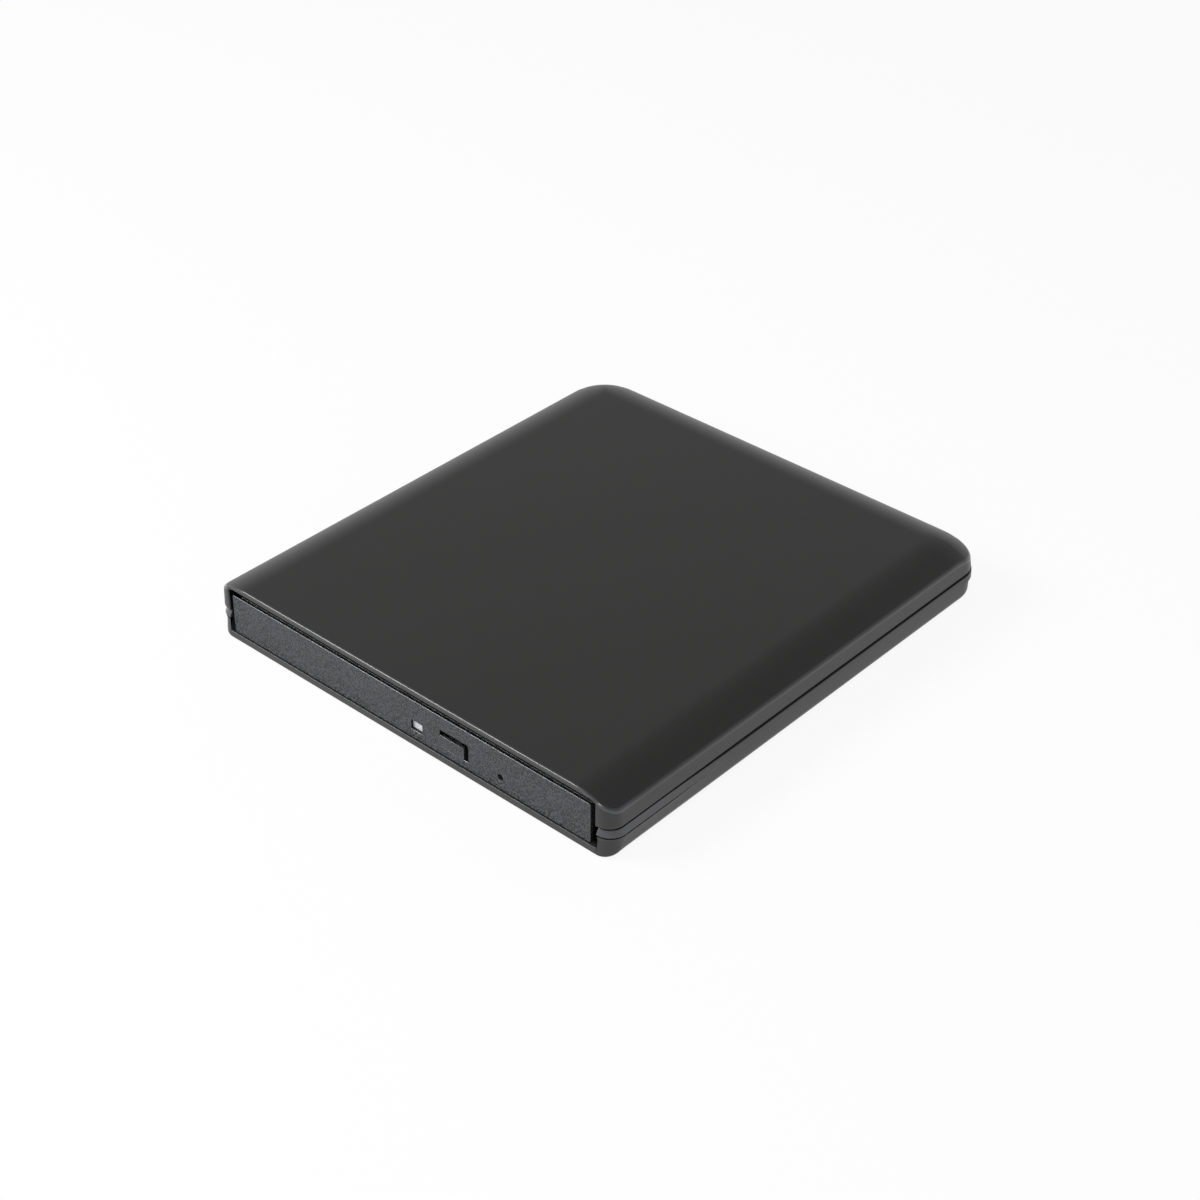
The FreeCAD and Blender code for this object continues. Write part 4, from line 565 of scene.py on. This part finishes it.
def make_port():
    """A slot with round ends that runs through the back wall."""
    radius = (socket_high.z - socket_low.z) / 2 + port_play
    straight = (socket_high.x - socket_low.x) / 2 + port_play - radius
    middle = (socket_low + socket_high) / 2
    outline = [on_circle(middle.x + side * straight, 0, radius, degrees)
               for side, start in ((1, -90), (-1, 90))
               for degrees in np.linspace(start, start + 180, 17)]
    slot = prism("port", outline, back - 4 * MM, back + cut_past)
    slot.data.transform(Matrix(((1, 0, 0, 0), (0, 0, 1, 0), (0, -1, 0, middle.z), (0, 0, 0, 1))))
    return slot


carve(bottom_shell, cutters + [make_port()])
dress(bottom_shell, "housing", "case_plastic", "bottom_cover")
dress(gap_tongue, "housing", "case_plastic")

# %% [markdown]
# ## Plates with holes
#
# The bezel is a plate with a light slot, a button hole and a pinhole, all with soft
# edges. A filled 2D curve with a bevel makes such a plate in one go: the outer
# outline and each hole are closed curves, and the bevel rounds them all.

# %% Flat plates
def rounded_outline(x0, z0, x1, z1, radius):
    """Points round a rectangle with round corners, in the X-Z plane."""
    left, right, low, high = x0 + radius, x1 - radius, z0 + radius, z1 - radius
    corners = ((right, low, -90), (right, high, 0), (left, high, 90), (left, low, 180))
    return [on_circle(x, z, radius, degrees) for x, z, start in corners
            for degrees in np.linspace(start, start + 90, 5)]


def plate(name, outlines, face, rear, edge):
    """A plate between two depths with rounded edges; the first outline is its outside."""
    data = bpy.data.curves.new(name, "CURVE")
    data.dimensions = "2D"
    data.fill_mode = "BOTH"
    data.extrude = (rear - face) / 2 - edge
    data.bevel_depth = edge
    data.bevel_resolution = 3
    data.offset = -edge
    for points in outlines:
        spline = data.splines.new("POLY")
        spline.points.add(len(points) - 1)
        for point, (x, z) in zip(spline.points, points):
            point.co = (x, z, 0, 1)
        spline.use_cyclic_u = True
    curve = new_piece(name, data)
    mesh = plain_mesh(curve)
    bpy.data.objects.remove(curve)
    upright = Matrix.Rotation(math.radians(90), 4, "X")
    mesh.transform(Matrix.Translation((0, (face + rear) / 2, 0)) @ upright)
    grid = bmesh.new()
    grid.from_mesh(mesh)
    bpy.data.meshes.remove(mesh)
    grid.normal_update()
    # painted highlight: the rounded edges are polished and painted paler
    mark(grid, "wear", [f for f in grid.faces if 0.1 < abs(f.normal.y) < 0.98])
    # painted shade: the sides and back are painted near-black
    mark(grid, "inner", [f for f in grid.faces if f.normal.y > -0.1])
    return new_piece(name, clean_mesh(name, grid))


# %% [markdown]
# ## Bezel, button and light window
#
# The bezel is thin along its upper edge and steps down behind it, so the gap above
# it looks deep and black; its sides that look into the gap are also painted
# near-black as shade. Two plates of different height, one behind the other, give
# that step. The button is a plate with a stem behind it.

# %% Bezel
def as_one(name, things):
    """Closed meshes that belong together, as one piece."""
    grid = bmesh.new()
    for thing in things:
        grid.from_mesh(thing.data)
        bpy.data.objects.remove(thing)
    return new_piece(name, clean_mesh(name, grid))


button_low, button_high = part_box("eject_button")
light_low, light_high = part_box("led_window")
pinhole = (33.8 * MM, shell_low + 6.1 * MM, 0.95 * MM)
bezel_right = case_half - 0.7 * MM
bezel_lip, bezel_rebate, bezel_overlap = 0.42 * MM, 1.2 * MM, 0.25 * MM
soft_edge, fine_edge = 0.18 * MM, 0.1 * MM
light_slot = (light_low.x - 0.6 * MM, light_low.z - 1.1 * MM,
              light_high.x - 0.6 * MM, light_high.z - 0.35 * MM)
slot_round = 0.2 * MM
light_depth = 0.28 * MM
button_plate = (button_low.x, button_low.z, button_high.x - 0.9 * MM, button_high.z)
button_gap, button_wide_gap = 0.06 * MM, 1.5 * MM
button_front, button_back, stem_start = 0.2 * MM, 1.1 * MM, 0.9 * MM


def bezel_outlines(top):
    """The bezel's outside up to a level, and its holes."""
    left, low, right, high = button_plate
    return [rounded_outline(-case_half, bezel_low.z, bezel_right, top, 0.5 * MM),
            rounded_outline(left - button_gap, low - button_gap, right + button_wide_gap,
                            high + button_wide_gap, 0.3 * MM),
            rounded_outline(*light_slot, slot_round), circle_outline(*pinhole)]


def make_bezel():
    """The drawer's front plate."""
    step = bezel_low.y + bezel_lip
    lip = plate("bezel_lip", bezel_outlines(bezel_high.z), bezel_low.y, step, soft_edge)
    rear = plate("bezel_rear", bezel_outlines(bezel_high.z - bezel_rebate),
                 step - bezel_overlap, bezel_high.y, fine_edge)
    return as_one("front_plate", [lip, rear])


def make_button():
    """The eject button's face and its stem."""
    left, low, right, high = button_plate
    face = plate("button_plate", [rounded_outline(left, low, right, high, 0.4 * MM)],
                 button_low.y + button_front, button_low.y + button_back, fine_edge)
    aside, above = (right - left) / 4, 0.35 * MM
    stem = plate("button_stem", [rounded_outline(left + aside, low + above, right - aside,
                                                 high - above, 0.2 * MM)],
                 button_low.y + stem_start, button_high.y, fine_edge)
    return as_one("button_face", [face, stem])


def make_light():
    """The clear plug behind the slot."""
    return plate("light_plug", [rounded_outline(*light_slot, slot_round)],
                 light_low.y + light_depth, light_high.y, fine_edge)


dress(make_bezel(), "drawer", "bezel_plastic", "bezel")
dress(make_button(), "eject_button", "bezel_plastic", "eject_button")
dress(make_light(), "drawer", "light_plastic", "led_window")

# %% [markdown]
# ## Bevelled copies of the mechanism's pieces
#
# The drawer, rails, sheets and boards are already right in outline, but a real
# pressed or moulded edge is never razor sharp. Each is copied, its triangles are
# joined back into flat faces, and a narrow chamfer is cut along every sharp edge.

# %% Bevelled copies
record = frame["record"]
slot_of = {part["node"]: part["material_slot"] for part in record["subparts"]}
body_of = {node: body for body, members in record["behaviour"]["bodies"].items()
           for node in members}
sharp_angle = math.radians(28)
flat_angle = math.radians(0.5)
chamfer_polish_and_highlight = 0.5


def tidy_copy(node):
    """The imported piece's surface with its doubles merged and its flat faces whole."""
    grid = bmesh.new()
    grid.from_mesh(nodes[node].data)
    bmesh.ops.remove_doubles(grid, verts=grid.verts, dist=1e-6)
    bmesh.ops.dissolve_limit(grid, angle_limit=flat_angle, verts=grid.verts, edges=grid.edges)
    return grid


def chamfer(grid, width):
    """Cut a narrow flat along the sharp edges and mark it as polished with a painted highlight."""
    grid.normal_update()
    sharp = [e for e in grid.edges if len(e.link_faces) == 2 and e.calc_face_angle(0) > sharp_angle]
    made = bmesh.ops.bevel(grid, geom=sharp, offset=width, offset_type="OFFSET", segments=1,
                           profile=0.5, affect="EDGES", clamp_overlap=True)
    mark(grid, "wear", made["faces"], lambda place: chamfer_polish_and_highlight)


def dressed(node, width):
    """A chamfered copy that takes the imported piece's place."""
    grid = tidy_copy(node)
    chamfer(grid, width)
    piece = new_piece(node + "_finished", clean_mesh(node + "_finished", grid))
    dress(piece, body_of[node], slot_of[node], node)


chamfers = {
    "tray": 0.25, "rubber_feet": 0.25, "rail_guide_left": 0.1, "rail_guide_right": 0.1,
    "slide_rail_left": 0.08, "slide_rail_right": 0.08, "drive_pan": 0.1, "drive_lid": 0.1,
    "traverse_cover": 0.06, "traverse_chassis": 0.1, "tray_shield": 0.06, "turntable_hub": 0.15,
    "friction_ring": 0.06, "hub_claw_1": 0.1, "hub_claw_2": 0.1, "hub_claw_3": 0.1,
    "pickup_body": 0.2, "lens_holder": 0.12, "rotor_cup": 0.12, "feed_motor": 0.15,
    "guide_shafts": 0.12, "shaft_holders": 0.12, "spindle_base": 0.08, "stator": 0.08,
    "feed_bracket": 0.06, "latch_hook": 0.1, "latch_solenoid": 0.2, "ejector_guide": 0.12,
    "ejector_plunger": 0.12, "catch_pin": 0.12, "latch_pivot": 0.1, "drive_connector": 0.12,
    "bridge_connector": 0.12, "plug_socket": 0.05, "socket_tongue": 0.08, "main_board": 0.06,
    "tray_board": 0.06, "bridge_board": 0.06, "eject_switch": 0.12, "feed_follower": 0.1,
    "main_board_chips": 0.08, "bridge_chips": 0.08, "upper_foam_pads": 0.2,
    "lower_foam_pads": 0.2, "rubber_dampers": 0.15,
}
for node, width in chamfers.items():
    dressed(node, width * MM)
print("chamfered pieces:", len(chamfers))

# %% [markdown]
# ## Finishes
#
# A finish is a small sum: a base colour, a grain and a roughness. Writing sums as
# node links by hand is slow to read, so a small class wraps a socket and lets
# Python's own operators add the Math nodes.

# %% Shader sums
class Socket:
    """An output of a shader node; arithmetic on it adds nodes to its tree."""

    def __init__(self, tree, output=None):
        self.tree = tree
        self.output = output

    def node(self, kind, settings=None, inputs=None, output=0):
        """Any node: its settings first, then the values or links of its sockets."""
        made = self.tree.nodes.new(kind)
        for name, value in (settings or {}).items():
            if name == "stops":
                ramp = made.color_ramp.elements
                for place, _ in value[len(ramp):]:
                    ramp.new(place)
                for stop, (place, colour) in zip(ramp, value):
                    stop.position = place
                    stop.color = colour
            else:
                setattr(made, name, value)
        for name, value in (inputs or {}).items():
            for one in value if isinstance(value, list) else [value]:
                if isinstance(one, Socket):
                    self.tree.links.new(one.output, made.inputs[name])
                else:
                    made.inputs[name].default_value = one
        return Socket(self.tree, made.outputs[output])

    def beside(self, output):
        """Another output of the same node."""
        return Socket(self.tree, self.output.node.outputs[output])

    def math(self, operation, first, second):
        """A Math node with two values."""
        return self.node("ShaderNodeMath", {"operation": operation}, {0: first, 1: second})

    def __add__(self, other):
        return self.math("ADD", self, other)

    def __sub__(self, other):
        return self.math("SUBTRACT", self, other)

    def __rsub__(self, other):
        return self.math("SUBTRACT", other, self)

    def __mul__(self, other):
        return self.math("MULTIPLY", self, other)

    __radd__ = __add__


def new_finish(name):
    """A material, its surface shader and a socket to start sums from."""
    material = bpy.data.materials.new(name)
    material.use_nodes = True
    shader = material.node_tree.nodes["Principled BSDF"]
    return material, shader, Socket(material.node_tree)


def link(node, name, value):
    """Feed a node's input with a sum."""
    node.id_data.links.new(value.output, node.inputs[name])


def speckle(start, size, detail=2.0, roughness=0.6):
    """Noise on the piece's own coordinates, for grain of a given size in metres."""
    place = start.node("ShaderNodeTexCoord", output="Object")
    return start.node("ShaderNodeTexNoise", inputs={
        "Vector": place, "Scale": 1 / size, "Detail": detail, "Roughness": roughness})


def tint(start, amount, dark, light):
    """A colour between two, by an amount from 0 to 1."""
    first = dark if isinstance(dark, Socket) else (*dark, 1)
    return start.node("ShaderNodeMix", {"data_type": "RGBA"},
                      {0: amount, 6: first, 7: (*light, 1)}, 2)


def bump(start, height, strength, distance):
    """A normal from a height."""
    return start.node("ShaderNodeBump", inputs={
        "Height": height, "Strength": strength, "Distance": distance})


def marked(start, layer_name):
    """How far a place is marked in one of the meshes' layers."""
    return start.node("ShaderNodeAttribute", {"attribute_name": layer_name}, output="Fac")


def grained_plastic(name, dark, light, grain, rough, spread, relief, contrast=1.0, haze=0.0,
                    edge=(0.0, 0.0, 0.0)):
    """Moulded plastic with a spark-eroded grain; marked edges are smoother, glossier and painted
    paler as a highlight, and marked inner sides are painted near-black as shade.
    """
    material, shader, start = new_finish(name)
    fine = speckle(start, grain * MM) * contrast + (0.5 - 0.5 * contrast)
    broad = speckle(start, 9 * MM, 3.0)
    wear = marked(start, "wear")
    grain_tone = tint(start, fine * 0.8 + broad * 0.2, dark, light)
    # painted highlight: faces marked in the polish-and-highlight layer are tinted paler, by the
    # edge tone where one is given
    painted_highlight_tone = tuple(a + b for a, b in zip(light, edge))
    # painted shade: faces marked inner, the sides that look into gaps and the covers' insides, are
    # painted near-black
    painted_shade_tone = tuple(0.1 * part for part in dark)
    outer_tone = tint(start, wear, grain_tone, painted_highlight_tone)
    link(shader, "Base Color", tint(start, marked(start, "inner"), outer_tone, painted_shade_tone))
    link(shader, "Roughness", rough - spread / 2 + fine * spread - wear * 0.24)
    link(shader, "Coat Weight", wear * 0.4)
    link(shader, "Normal", bump(start, (fine - 0.5) * (1 - wear), 0.5, relief * MM))
    shader.inputs["Coat Roughness"].default_value = 0.2
    shader.inputs["Sheen Weight"].default_value = haze
    shader.inputs["Sheen Roughness"].default_value = 0.4
    return material


def metal(name, colour, grain, rough):
    """Sheet or turned metal with a faint mottle."""
    material, shader, start = new_finish(name)
    mottle = speckle(start, grain * MM, 3.0, 0.5)
    darker = tuple(0.82 * part for part in colour)
    link(shader, "Base Color", tint(start, mottle, darker, colour))
    link(shader, "Roughness", rough - 0.06 + mottle * 0.12)
    link(shader, "Normal", bump(start, mottle, 0.3, 0.01 * MM))
    shader.inputs["Metallic"].default_value = 1.0
    return material


# %% [markdown]
# The case's plastic is a dark satin grey with an even, very fine grain. The bezel
# is the same grey but with a coarser sparkle, as it comes from another mould. Each
# plastic has a dark and a light tone, the grain's size in millimetres, a roughness
# and its spread, and the grain's relief in millimetres.

# %% Every slot's finish
plastics = {
    "case_plastic": ((0.014, 0.014, 0.0135), (0.022, 0.022, 0.0215), 0.25, 0.42, 0.1, 0.01),
    "bezel_plastic": ((0.002, 0.0022, 0.003), (0.058, 0.062, 0.070), 0.5, 0.45, 0.2, 0.35),
    "light_plastic": ((0.45, 0.46, 0.48), (0.70, 0.71, 0.73), 1.5, 0.25, 0.1, 0.01),
    "foot_rubber": ((0.03, 0.03, 0.031), (0.05, 0.05, 0.052), 0.3, 0.85, 0.1, 0.03),
    "foam": ((0.02, 0.02, 0.02), (0.05, 0.05, 0.05), 0.4, 0.95, 0.05, 0.1),
    "tray_plastic": ((0.02, 0.02, 0.021), (0.034, 0.034, 0.036), 0.3, 0.55, 0.1, 0.015),
    "cover_paint": ((0.005, 0.005, 0.006), (0.01, 0.01, 0.011), 0.2, 0.32, 0.1, 0.01),
    "hub_plastic": ((0.01, 0.01, 0.01), (0.018, 0.018, 0.018), 0.3, 0.3, 0.1, 0.01),
    "lens_glass": ((0.10, 0.14, 0.22), (0.16, 0.20, 0.30), 2.0, 0.05, 0.02, 0.001),
    "board_green": ((0.01, 0.08, 0.04), (0.02, 0.13, 0.07), 0.8, 0.4, 0.1, 0.02),
    "chip_black": ((0.015, 0.015, 0.015), (0.03, 0.03, 0.03), 0.2, 0.6, 0.1, 0.01),
    "flex_amber": ((0.30, 0.14, 0.03), (0.40, 0.20, 0.05), 1.0, 0.35, 0.1, 0.01),
}
metals = {
    "zinc_steel": ((0.62, 0.62, 0.60), 1.2, 0.36),
    "screw_steel": ((0.50, 0.50, 0.50), 0.3, 0.3),
    "motor_steel": ((0.66, 0.66, 0.66), 0.5, 0.28),
}
extras = {
    # painted highlight: the case's marked creases and lip take this paler, bluer edge tone
    "case_plastic": {"haze": 0.04, "edge": (0.030, 0.031, 0.036)},
    "bezel_plastic": {"contrast": 7.0},
}
finishes = {slot: grained_plastic(slot, *values, **extras.get(slot, {}))
            for slot, values in plastics.items()}
finishes.update({slot: metal(slot, *values) for slot, values in metals.items()})


# %% [markdown]
# ## Screws, a thread and a spring
#
# A small machine screw has a domed head with a cross recess, and no two stop at the
# same angle. A thread and a spring are both a wire along a helix. Each of these
# follows a rule, so Geometry Nodes makes them: one tree sets a head on every point
# of a mesh and turns it by a random angle from a fixed seed, the other winds a wire.

# %% Node trees
def new_tree(name, inputs):
    """A geometry tree, its inputs by name and their identifiers for the modifier."""
    tree = bpy.data.node_groups.new(name, "GeometryNodeTree")
    tree.interface.new_socket("Geometry", in_out="INPUT", socket_type="NodeSocketGeometry")
    tree.interface.new_socket("Geometry", in_out="OUTPUT", socket_type="NodeSocketGeometry")
    keys = {}
    for label, kind in inputs:
        made = tree.interface.new_socket(label, in_out="INPUT", socket_type="NodeSocket" + kind)
        keys[label] = made.identifier
    entry = tree.nodes.new("NodeGroupInput")
    wires = {label: Socket(tree, entry.outputs[label]) for label in ["Geometry", *keys]}
    return tree, wires, keys


def close_tree(tree, shape, finish):
    """The end of every tree: real geometry with its material."""
    start = Socket(tree)
    real = start.node("GeometryNodeRealizeInstances", inputs={"Geometry": shape})
    done = start.node("GeometryNodeSetMaterial", inputs={"Geometry": real, "Material": finish})
    tree.links.new(done.output, tree.nodes.new("NodeGroupOutput").inputs["Geometry"])


def grow(name, spots, tree, keys, values):
    """Run a tree on some points and keep what grows as a plain mesh."""
    points = bpy.data.meshes.new(name)
    points.from_pydata(spots, [], [])
    piece = new_piece(name, points)
    growth = piece.modifiers.new("growth", "NODES")
    growth.node_group = tree
    for label, value in values.items():
        growth[keys[label]] = value
    grid = bmesh.new()
    grid.from_mesh(plain_mesh(piece))
    piece.modifiers.clear()
    piece.data = clean_mesh(name, grid)
    print(name, "faces:", len(piece.data.polygons))
    return piece


def axes_of(start, x=0.0, y=0.0, z=0.0):
    """A vector from three numbers or sockets."""
    return start.node("ShaderNodeCombineXYZ", inputs={"X": x, "Y": y, "Z": z})


def moved(start, shape, **places):
    """A shape at another place."""
    return start.node("GeometryNodeTransform",
                      inputs={"Geometry": shape, "Translation": axes_of(start, **places)})


def make_screw_tree():
    """Domed heads with a cross recess on every point."""
    tree, wires, keys = new_tree("cross_head_screws", [
        ("Head radius", "Float"), ("Head height", "Float"), ("Turned over", "Float"),
        ("Seed", "Int"), ("Finish", "Material")])
    start = Socket(tree)
    radius, height = wires["Head radius"], wires["Head height"]
    drum = start.node("GeometryNodeMeshCylinder", {"fill_type": "NGON"},
                      {"Vertices": 24, "Radius": radius, "Depth": height * 0.6})
    raised = moved(start, drum, z=height * 0.3)
    normal = start.node("GeometryNodeInputNormal")
    up = start.node("ShaderNodeSeparateXYZ", inputs={"Vector": normal}, output="Z")
    domed = start.node("GeometryNodeExtrudeMesh", {"mode": "FACES"},
                       {"Mesh": raised, "Selection": start.math("GREATER_THAN", up, 0.5),
                        "Offset Scale": height * 0.4, "Individual": False})
    head = start.node("GeometryNodeScaleElements", {"domain": "FACE"},
                      {"Geometry": domed, "Selection": domed.beside("Top"), "Scale": 0.72})
    long, wide = radius * 1.1, radius * 0.26
    bars = [start.node("GeometryNodeMeshCube", inputs={"Size": axes_of(start, x, y, height * 1.1)})
            for x, y in ((long, wide), (wide, long))]
    lifted = [moved(start, bar, z=height) for bar in bars]
    cut = start.node("GeometryNodeMeshBoolean", {"operation": "DIFFERENCE", "solver": "EXACT"},
                     {"Mesh 1": head, "Mesh 2": lifted})
    angle = start.node("FunctionNodeRandomValue", {"data_type": "FLOAT"},
                       {2: 0.0, 3: 2 * math.pi, 8: wires["Seed"]}, 1)
    placed = start.node("GeometryNodeInstanceOnPoints",
                        inputs={"Points": wires["Geometry"], "Instance": cut,
                                "Rotation": axes_of(start, x=wires["Turned over"], z=angle)})
    close_tree(tree, placed, wires["Finish"])
    return tree, keys


def make_helix_tree():
    """A wire along a helix, on a core where one is asked for."""
    tree, wires, keys = new_tree("wound_wire", [
        ("Helix radius", "Float"), ("Wire radius", "Float"), ("Length", "Float"),
        ("Turns", "Float"), ("Core radius", "Float"), ("Core length", "Float"),
        ("Direction", "Vector"), ("Place", "Vector"), ("Finish", "Material")])
    start = Socket(tree)
    spiral = start.node("GeometryNodeCurveSpiral", inputs={
        "Resolution": 18, "Rotations": wires["Turns"], "Start Radius": wires["Helix radius"],
        "End Radius": wires["Helix radius"], "Height": wires["Length"]})
    section = start.node("GeometryNodeCurvePrimitiveCircle",
                         inputs={"Resolution": 8, "Radius": wires["Wire radius"]})
    coil = start.node("GeometryNodeCurveToMesh",
                      inputs={"Curve": spiral, "Profile Curve": section, "Fill Caps": True})
    centred = moved(start, coil, z=wires["Length"] * -0.5)
    core = start.node("GeometryNodeMeshCylinder", {"fill_type": "NGON"}, {
        "Vertices": 24, "Radius": wires["Core radius"], "Depth": wires["Core length"]})
    wanted = start.node("GeometryNodeSwitch", {"input_type": "GEOMETRY"},
                        {"Switch": start.math("GREATER_THAN", wires["Core radius"], 0.0),
                         "True": core})
    whole = start.node("GeometryNodeJoinGeometry", inputs={"Geometry": [centred, wanted]})
    placed = start.node("GeometryNodeTransform", inputs={
        "Geometry": whole, "Rotation": wires["Direction"], "Translation": wires["Place"]})
    close_tree(tree, placed, wires["Finish"])
    return tree, keys


screw_tree, screw_keys = make_screw_tree()
helix_tree, helix_keys = make_helix_tree()

# %% [markdown]
# The traverse lies across the drawer along the way that the pickup travels, so its
# screws are placed by two numbers: along that way from the spindle, and across it.

# %% Screws on the traverse, the shield and the steel case
hub_low, hub_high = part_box("turntable_hub")
spindle = (hub_low + hub_high) / 2
travel_angle = math.radians(228)
travel = Vector((math.cos(travel_angle), math.sin(travel_angle), 0))
across = Vector((-travel.y, travel.x, 0))


def on_traverse(along, aside, level):
    """A point by its places along and across the pickup's travel, in millimetres."""
    return Vector((spindle.x, spindle.y, level)) + travel * along * MM + across * aside * MM


def place_screws(name, spots, body, radius, height, turned_over=False):
    """Screw heads of one size on one body."""
    slot = "screw_steel"
    piece = grow(name, spots, screw_tree, screw_keys, {
        "Head radius": radius * MM, "Head height": height * MM,
        "Turned over": math.pi if turned_over else 0.0, "Seed": 7, "Finish": finishes[slot]})
    dress(piece, body, slot)


def four_corners(box, aside, ahead, behind, level):
    """Four points inside a box's corners, by their rooms in millimetres."""
    low, high = box
    return [(x, y, level) for x in (low.x + aside * MM, high.x - aside * MM)
            for y in (low.y + ahead * MM, high.y - behind * MM)]


cover_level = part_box("traverse_cover")[1].z
cover_spots = ((61, 10.8), (61, -10.8), (22, 10.8), (22, -10.8), (-12.1, 12.6), (-12.1, -12.6))
shield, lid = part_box("tray_shield"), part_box("drive_lid")
place_screws("traverse_cover_screws",
             [on_traverse(along, aside, cover_level) for along, aside in cover_spots],
             "drawer", 1.15, 0.42)
place_screws("shield_screws", four_corners(shield, 4, 5, 5, shield[0].z), "drawer", 1.5, 0.4,
             turned_over=True)
place_screws("lid_screws", four_corners(lid, 6, 8, 6, lid[1].z), "housing", 1.5, 0.35)

# %% [markdown]
# The feed screw and the ejector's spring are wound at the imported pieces' places. The
# screw has a core and a thread of 3 mm pitch; the spring is a wire alone.

# %% Feed screw and ejector spring
def reach_along(node, direction):
    """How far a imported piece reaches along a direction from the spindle."""
    origin = Vector((spindle.x, spindle.y, 0))
    places = [(Vector(v.co) - origin).dot(direction) for v in nodes[node].data.vertices]
    return min(places), max(places)


def wind(name, node, direction, middle, helix, wire, length, turns, core=0.0, core_length=0.0):
    """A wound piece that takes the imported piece's place."""
    slot = slot_of[node]
    turn = direction.to_track_quat("Z", "Y").to_euler()
    piece = grow(name, [(0, 0, 0)], helix_tree, helix_keys, {
        "Helix radius": helix, "Wire radius": wire, "Length": length, "Turns": float(turns),
        "Core radius": core, "Core length": core_length, "Direction": list(turn),
        "Place": list(middle), "Finish": finishes[slot]})
    dress(piece, body_of[node], slot, node)


near, far = reach_along("feed_screw", travel)
left, right = reach_along("feed_screw", across)
thread_radius = (right - left) / 2
thread_level = sum(side.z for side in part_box("feed_screw")) / 2
thread_middle = on_traverse((near + far) / 2 / MM, (left + right) / 2 / MM, thread_level)
pitch, ridge, root, plain_ends = 3 * MM, 0.3 * MM, 0.35 * MM, 8 * MM
thread_length = far - near - plain_ends
wind("feed_thread", "feed_screw", travel, thread_middle, thread_radius - ridge, ridge,
     thread_length, thread_length / pitch, thread_radius - root, far - near)

spring_low, spring_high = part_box("ejector_spring")
spring_radius = (spring_high.x - spring_low.x) / 2
spring_wire, spring_turns = 0.22 * MM, 7
wind("plunger_spring", "ejector_spring", Vector((0, 1, 0)), (spring_low + spring_high) / 2,
     spring_radius - spring_wire, spring_wire, spring_high.y - spring_low.y - 2 * spring_wire,
     spring_turns)

# %% [markdown]
# Every piece has a slot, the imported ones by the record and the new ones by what
# `dress` was told, so one loop gives each its finish.

# %% Paint every piece
def paint(thing, slot):
    """Give a piece one finish."""
    thing.data.materials.clear()
    thing.data.materials.append(finishes[slot])


for node, slot in slot_of.items():
    paint(nodes[node], slot)
for piece, slot in painted:
    paint(piece, slot)
print("finishes:", len(finishes))

# %% [markdown]
# ## Floor, sky and lamps
#
# The drive stands on a white sweep. Seen by the camera the floor and the sky are
# plain white; for the light they are softer. The sky is brighter near the horizon
# than overhead, so the flat top stays dark while its rolled edges pick up light.

# %% Floor and light
floor_size = 6.0
background_share = 0.9


def make_floor():
    """A white floor that keeps a soft shadow."""
    mesh = bpy.data.meshes.new("floor")
    half = floor_size / 2
    corners = [(-half, -half, 0), (half, -half, 0), (half, half, 0), (-half, half, 0)]
    mesh.from_pydata(corners, [], [(0, 1, 2, 3)])
    floor = new_piece("floor", mesh)
    material, shader, start = new_finish("floor_white")
    shader.inputs["Base Color"].default_value = (0.82, 0.82, 0.82, 1)
    shader.inputs["Roughness"].default_value = 0.9
    shader.inputs["Specular IOR Level"].default_value = 0.1
    rays = start.node("ShaderNodeLightPath", output="Is Camera Ray")
    seen = rays + rays.beside("Is Glossy Ray") + rays.beside("Is Transmission Ray")
    glow = start.node("ShaderNodeEmission", inputs={"Color": (1, 1, 1, 1), "Strength": 1.0})
    white = Socket(start.tree, shader.outputs[0])
    mixed = start.node("ShaderNodeMixShader", inputs={
        0: seen * background_share, 1: white, 2: glow})
    link(start.tree.nodes["Material Output"], "Surface", mixed)
    mesh.materials.append(material)


def make_sky():
    """White to the camera, a soft gradient to everything else."""
    world = bpy.data.worlds.new("studio")
    scene.world = world
    world.use_nodes = True
    background = world.node_tree.nodes["Background"]
    start = Socket(world.node_tree)
    direction = start.node("ShaderNodeTexCoord", output="Generated")
    height = start.node("ShaderNodeSeparateXYZ", inputs={"Vector": direction}, output="Z")
    stops = [(place, (grey, grey, grey, 1)) for place, grey in
             ((0.0, 1.0), (0.30, 0.62), (0.55, 0.30), (0.75, 0.08))]
    sky = start.node("ShaderNodeValToRGB", {"stops": stops}, {"Fac": height})
    camera_ray = start.node("ShaderNodeLightPath", output="Is Camera Ray")
    seen = tint(start, camera_ray, sky, (1, 1, 1))
    link(background, "Color", seen)
    background.inputs["Strength"].default_value = 1.0


def make_lamp(name, place, size, power):
    """A soft square lamp that faces the drive."""
    data = bpy.data.lights.new(name, "AREA")
    data.shape = "SQUARE"
    data.size = size
    data.energy = power
    lamp = bpy.data.objects.new(name, data)
    lamp.location = place
    lamp.rotation_euler = (-Vector(place)).to_track_quat("-Z", "Y").to_euler()
    scene.collection.objects.link(lamp)


make_floor()
make_sky()
make_lamp("front_left_softbox", (-0.60, -0.62, 0.64), 0.45, 9.5)
make_lamp("overhead_softbox", (0.50, -0.55, 1.15), 0.45, 7.5)
scene.view_settings.view_transform = "Standard"
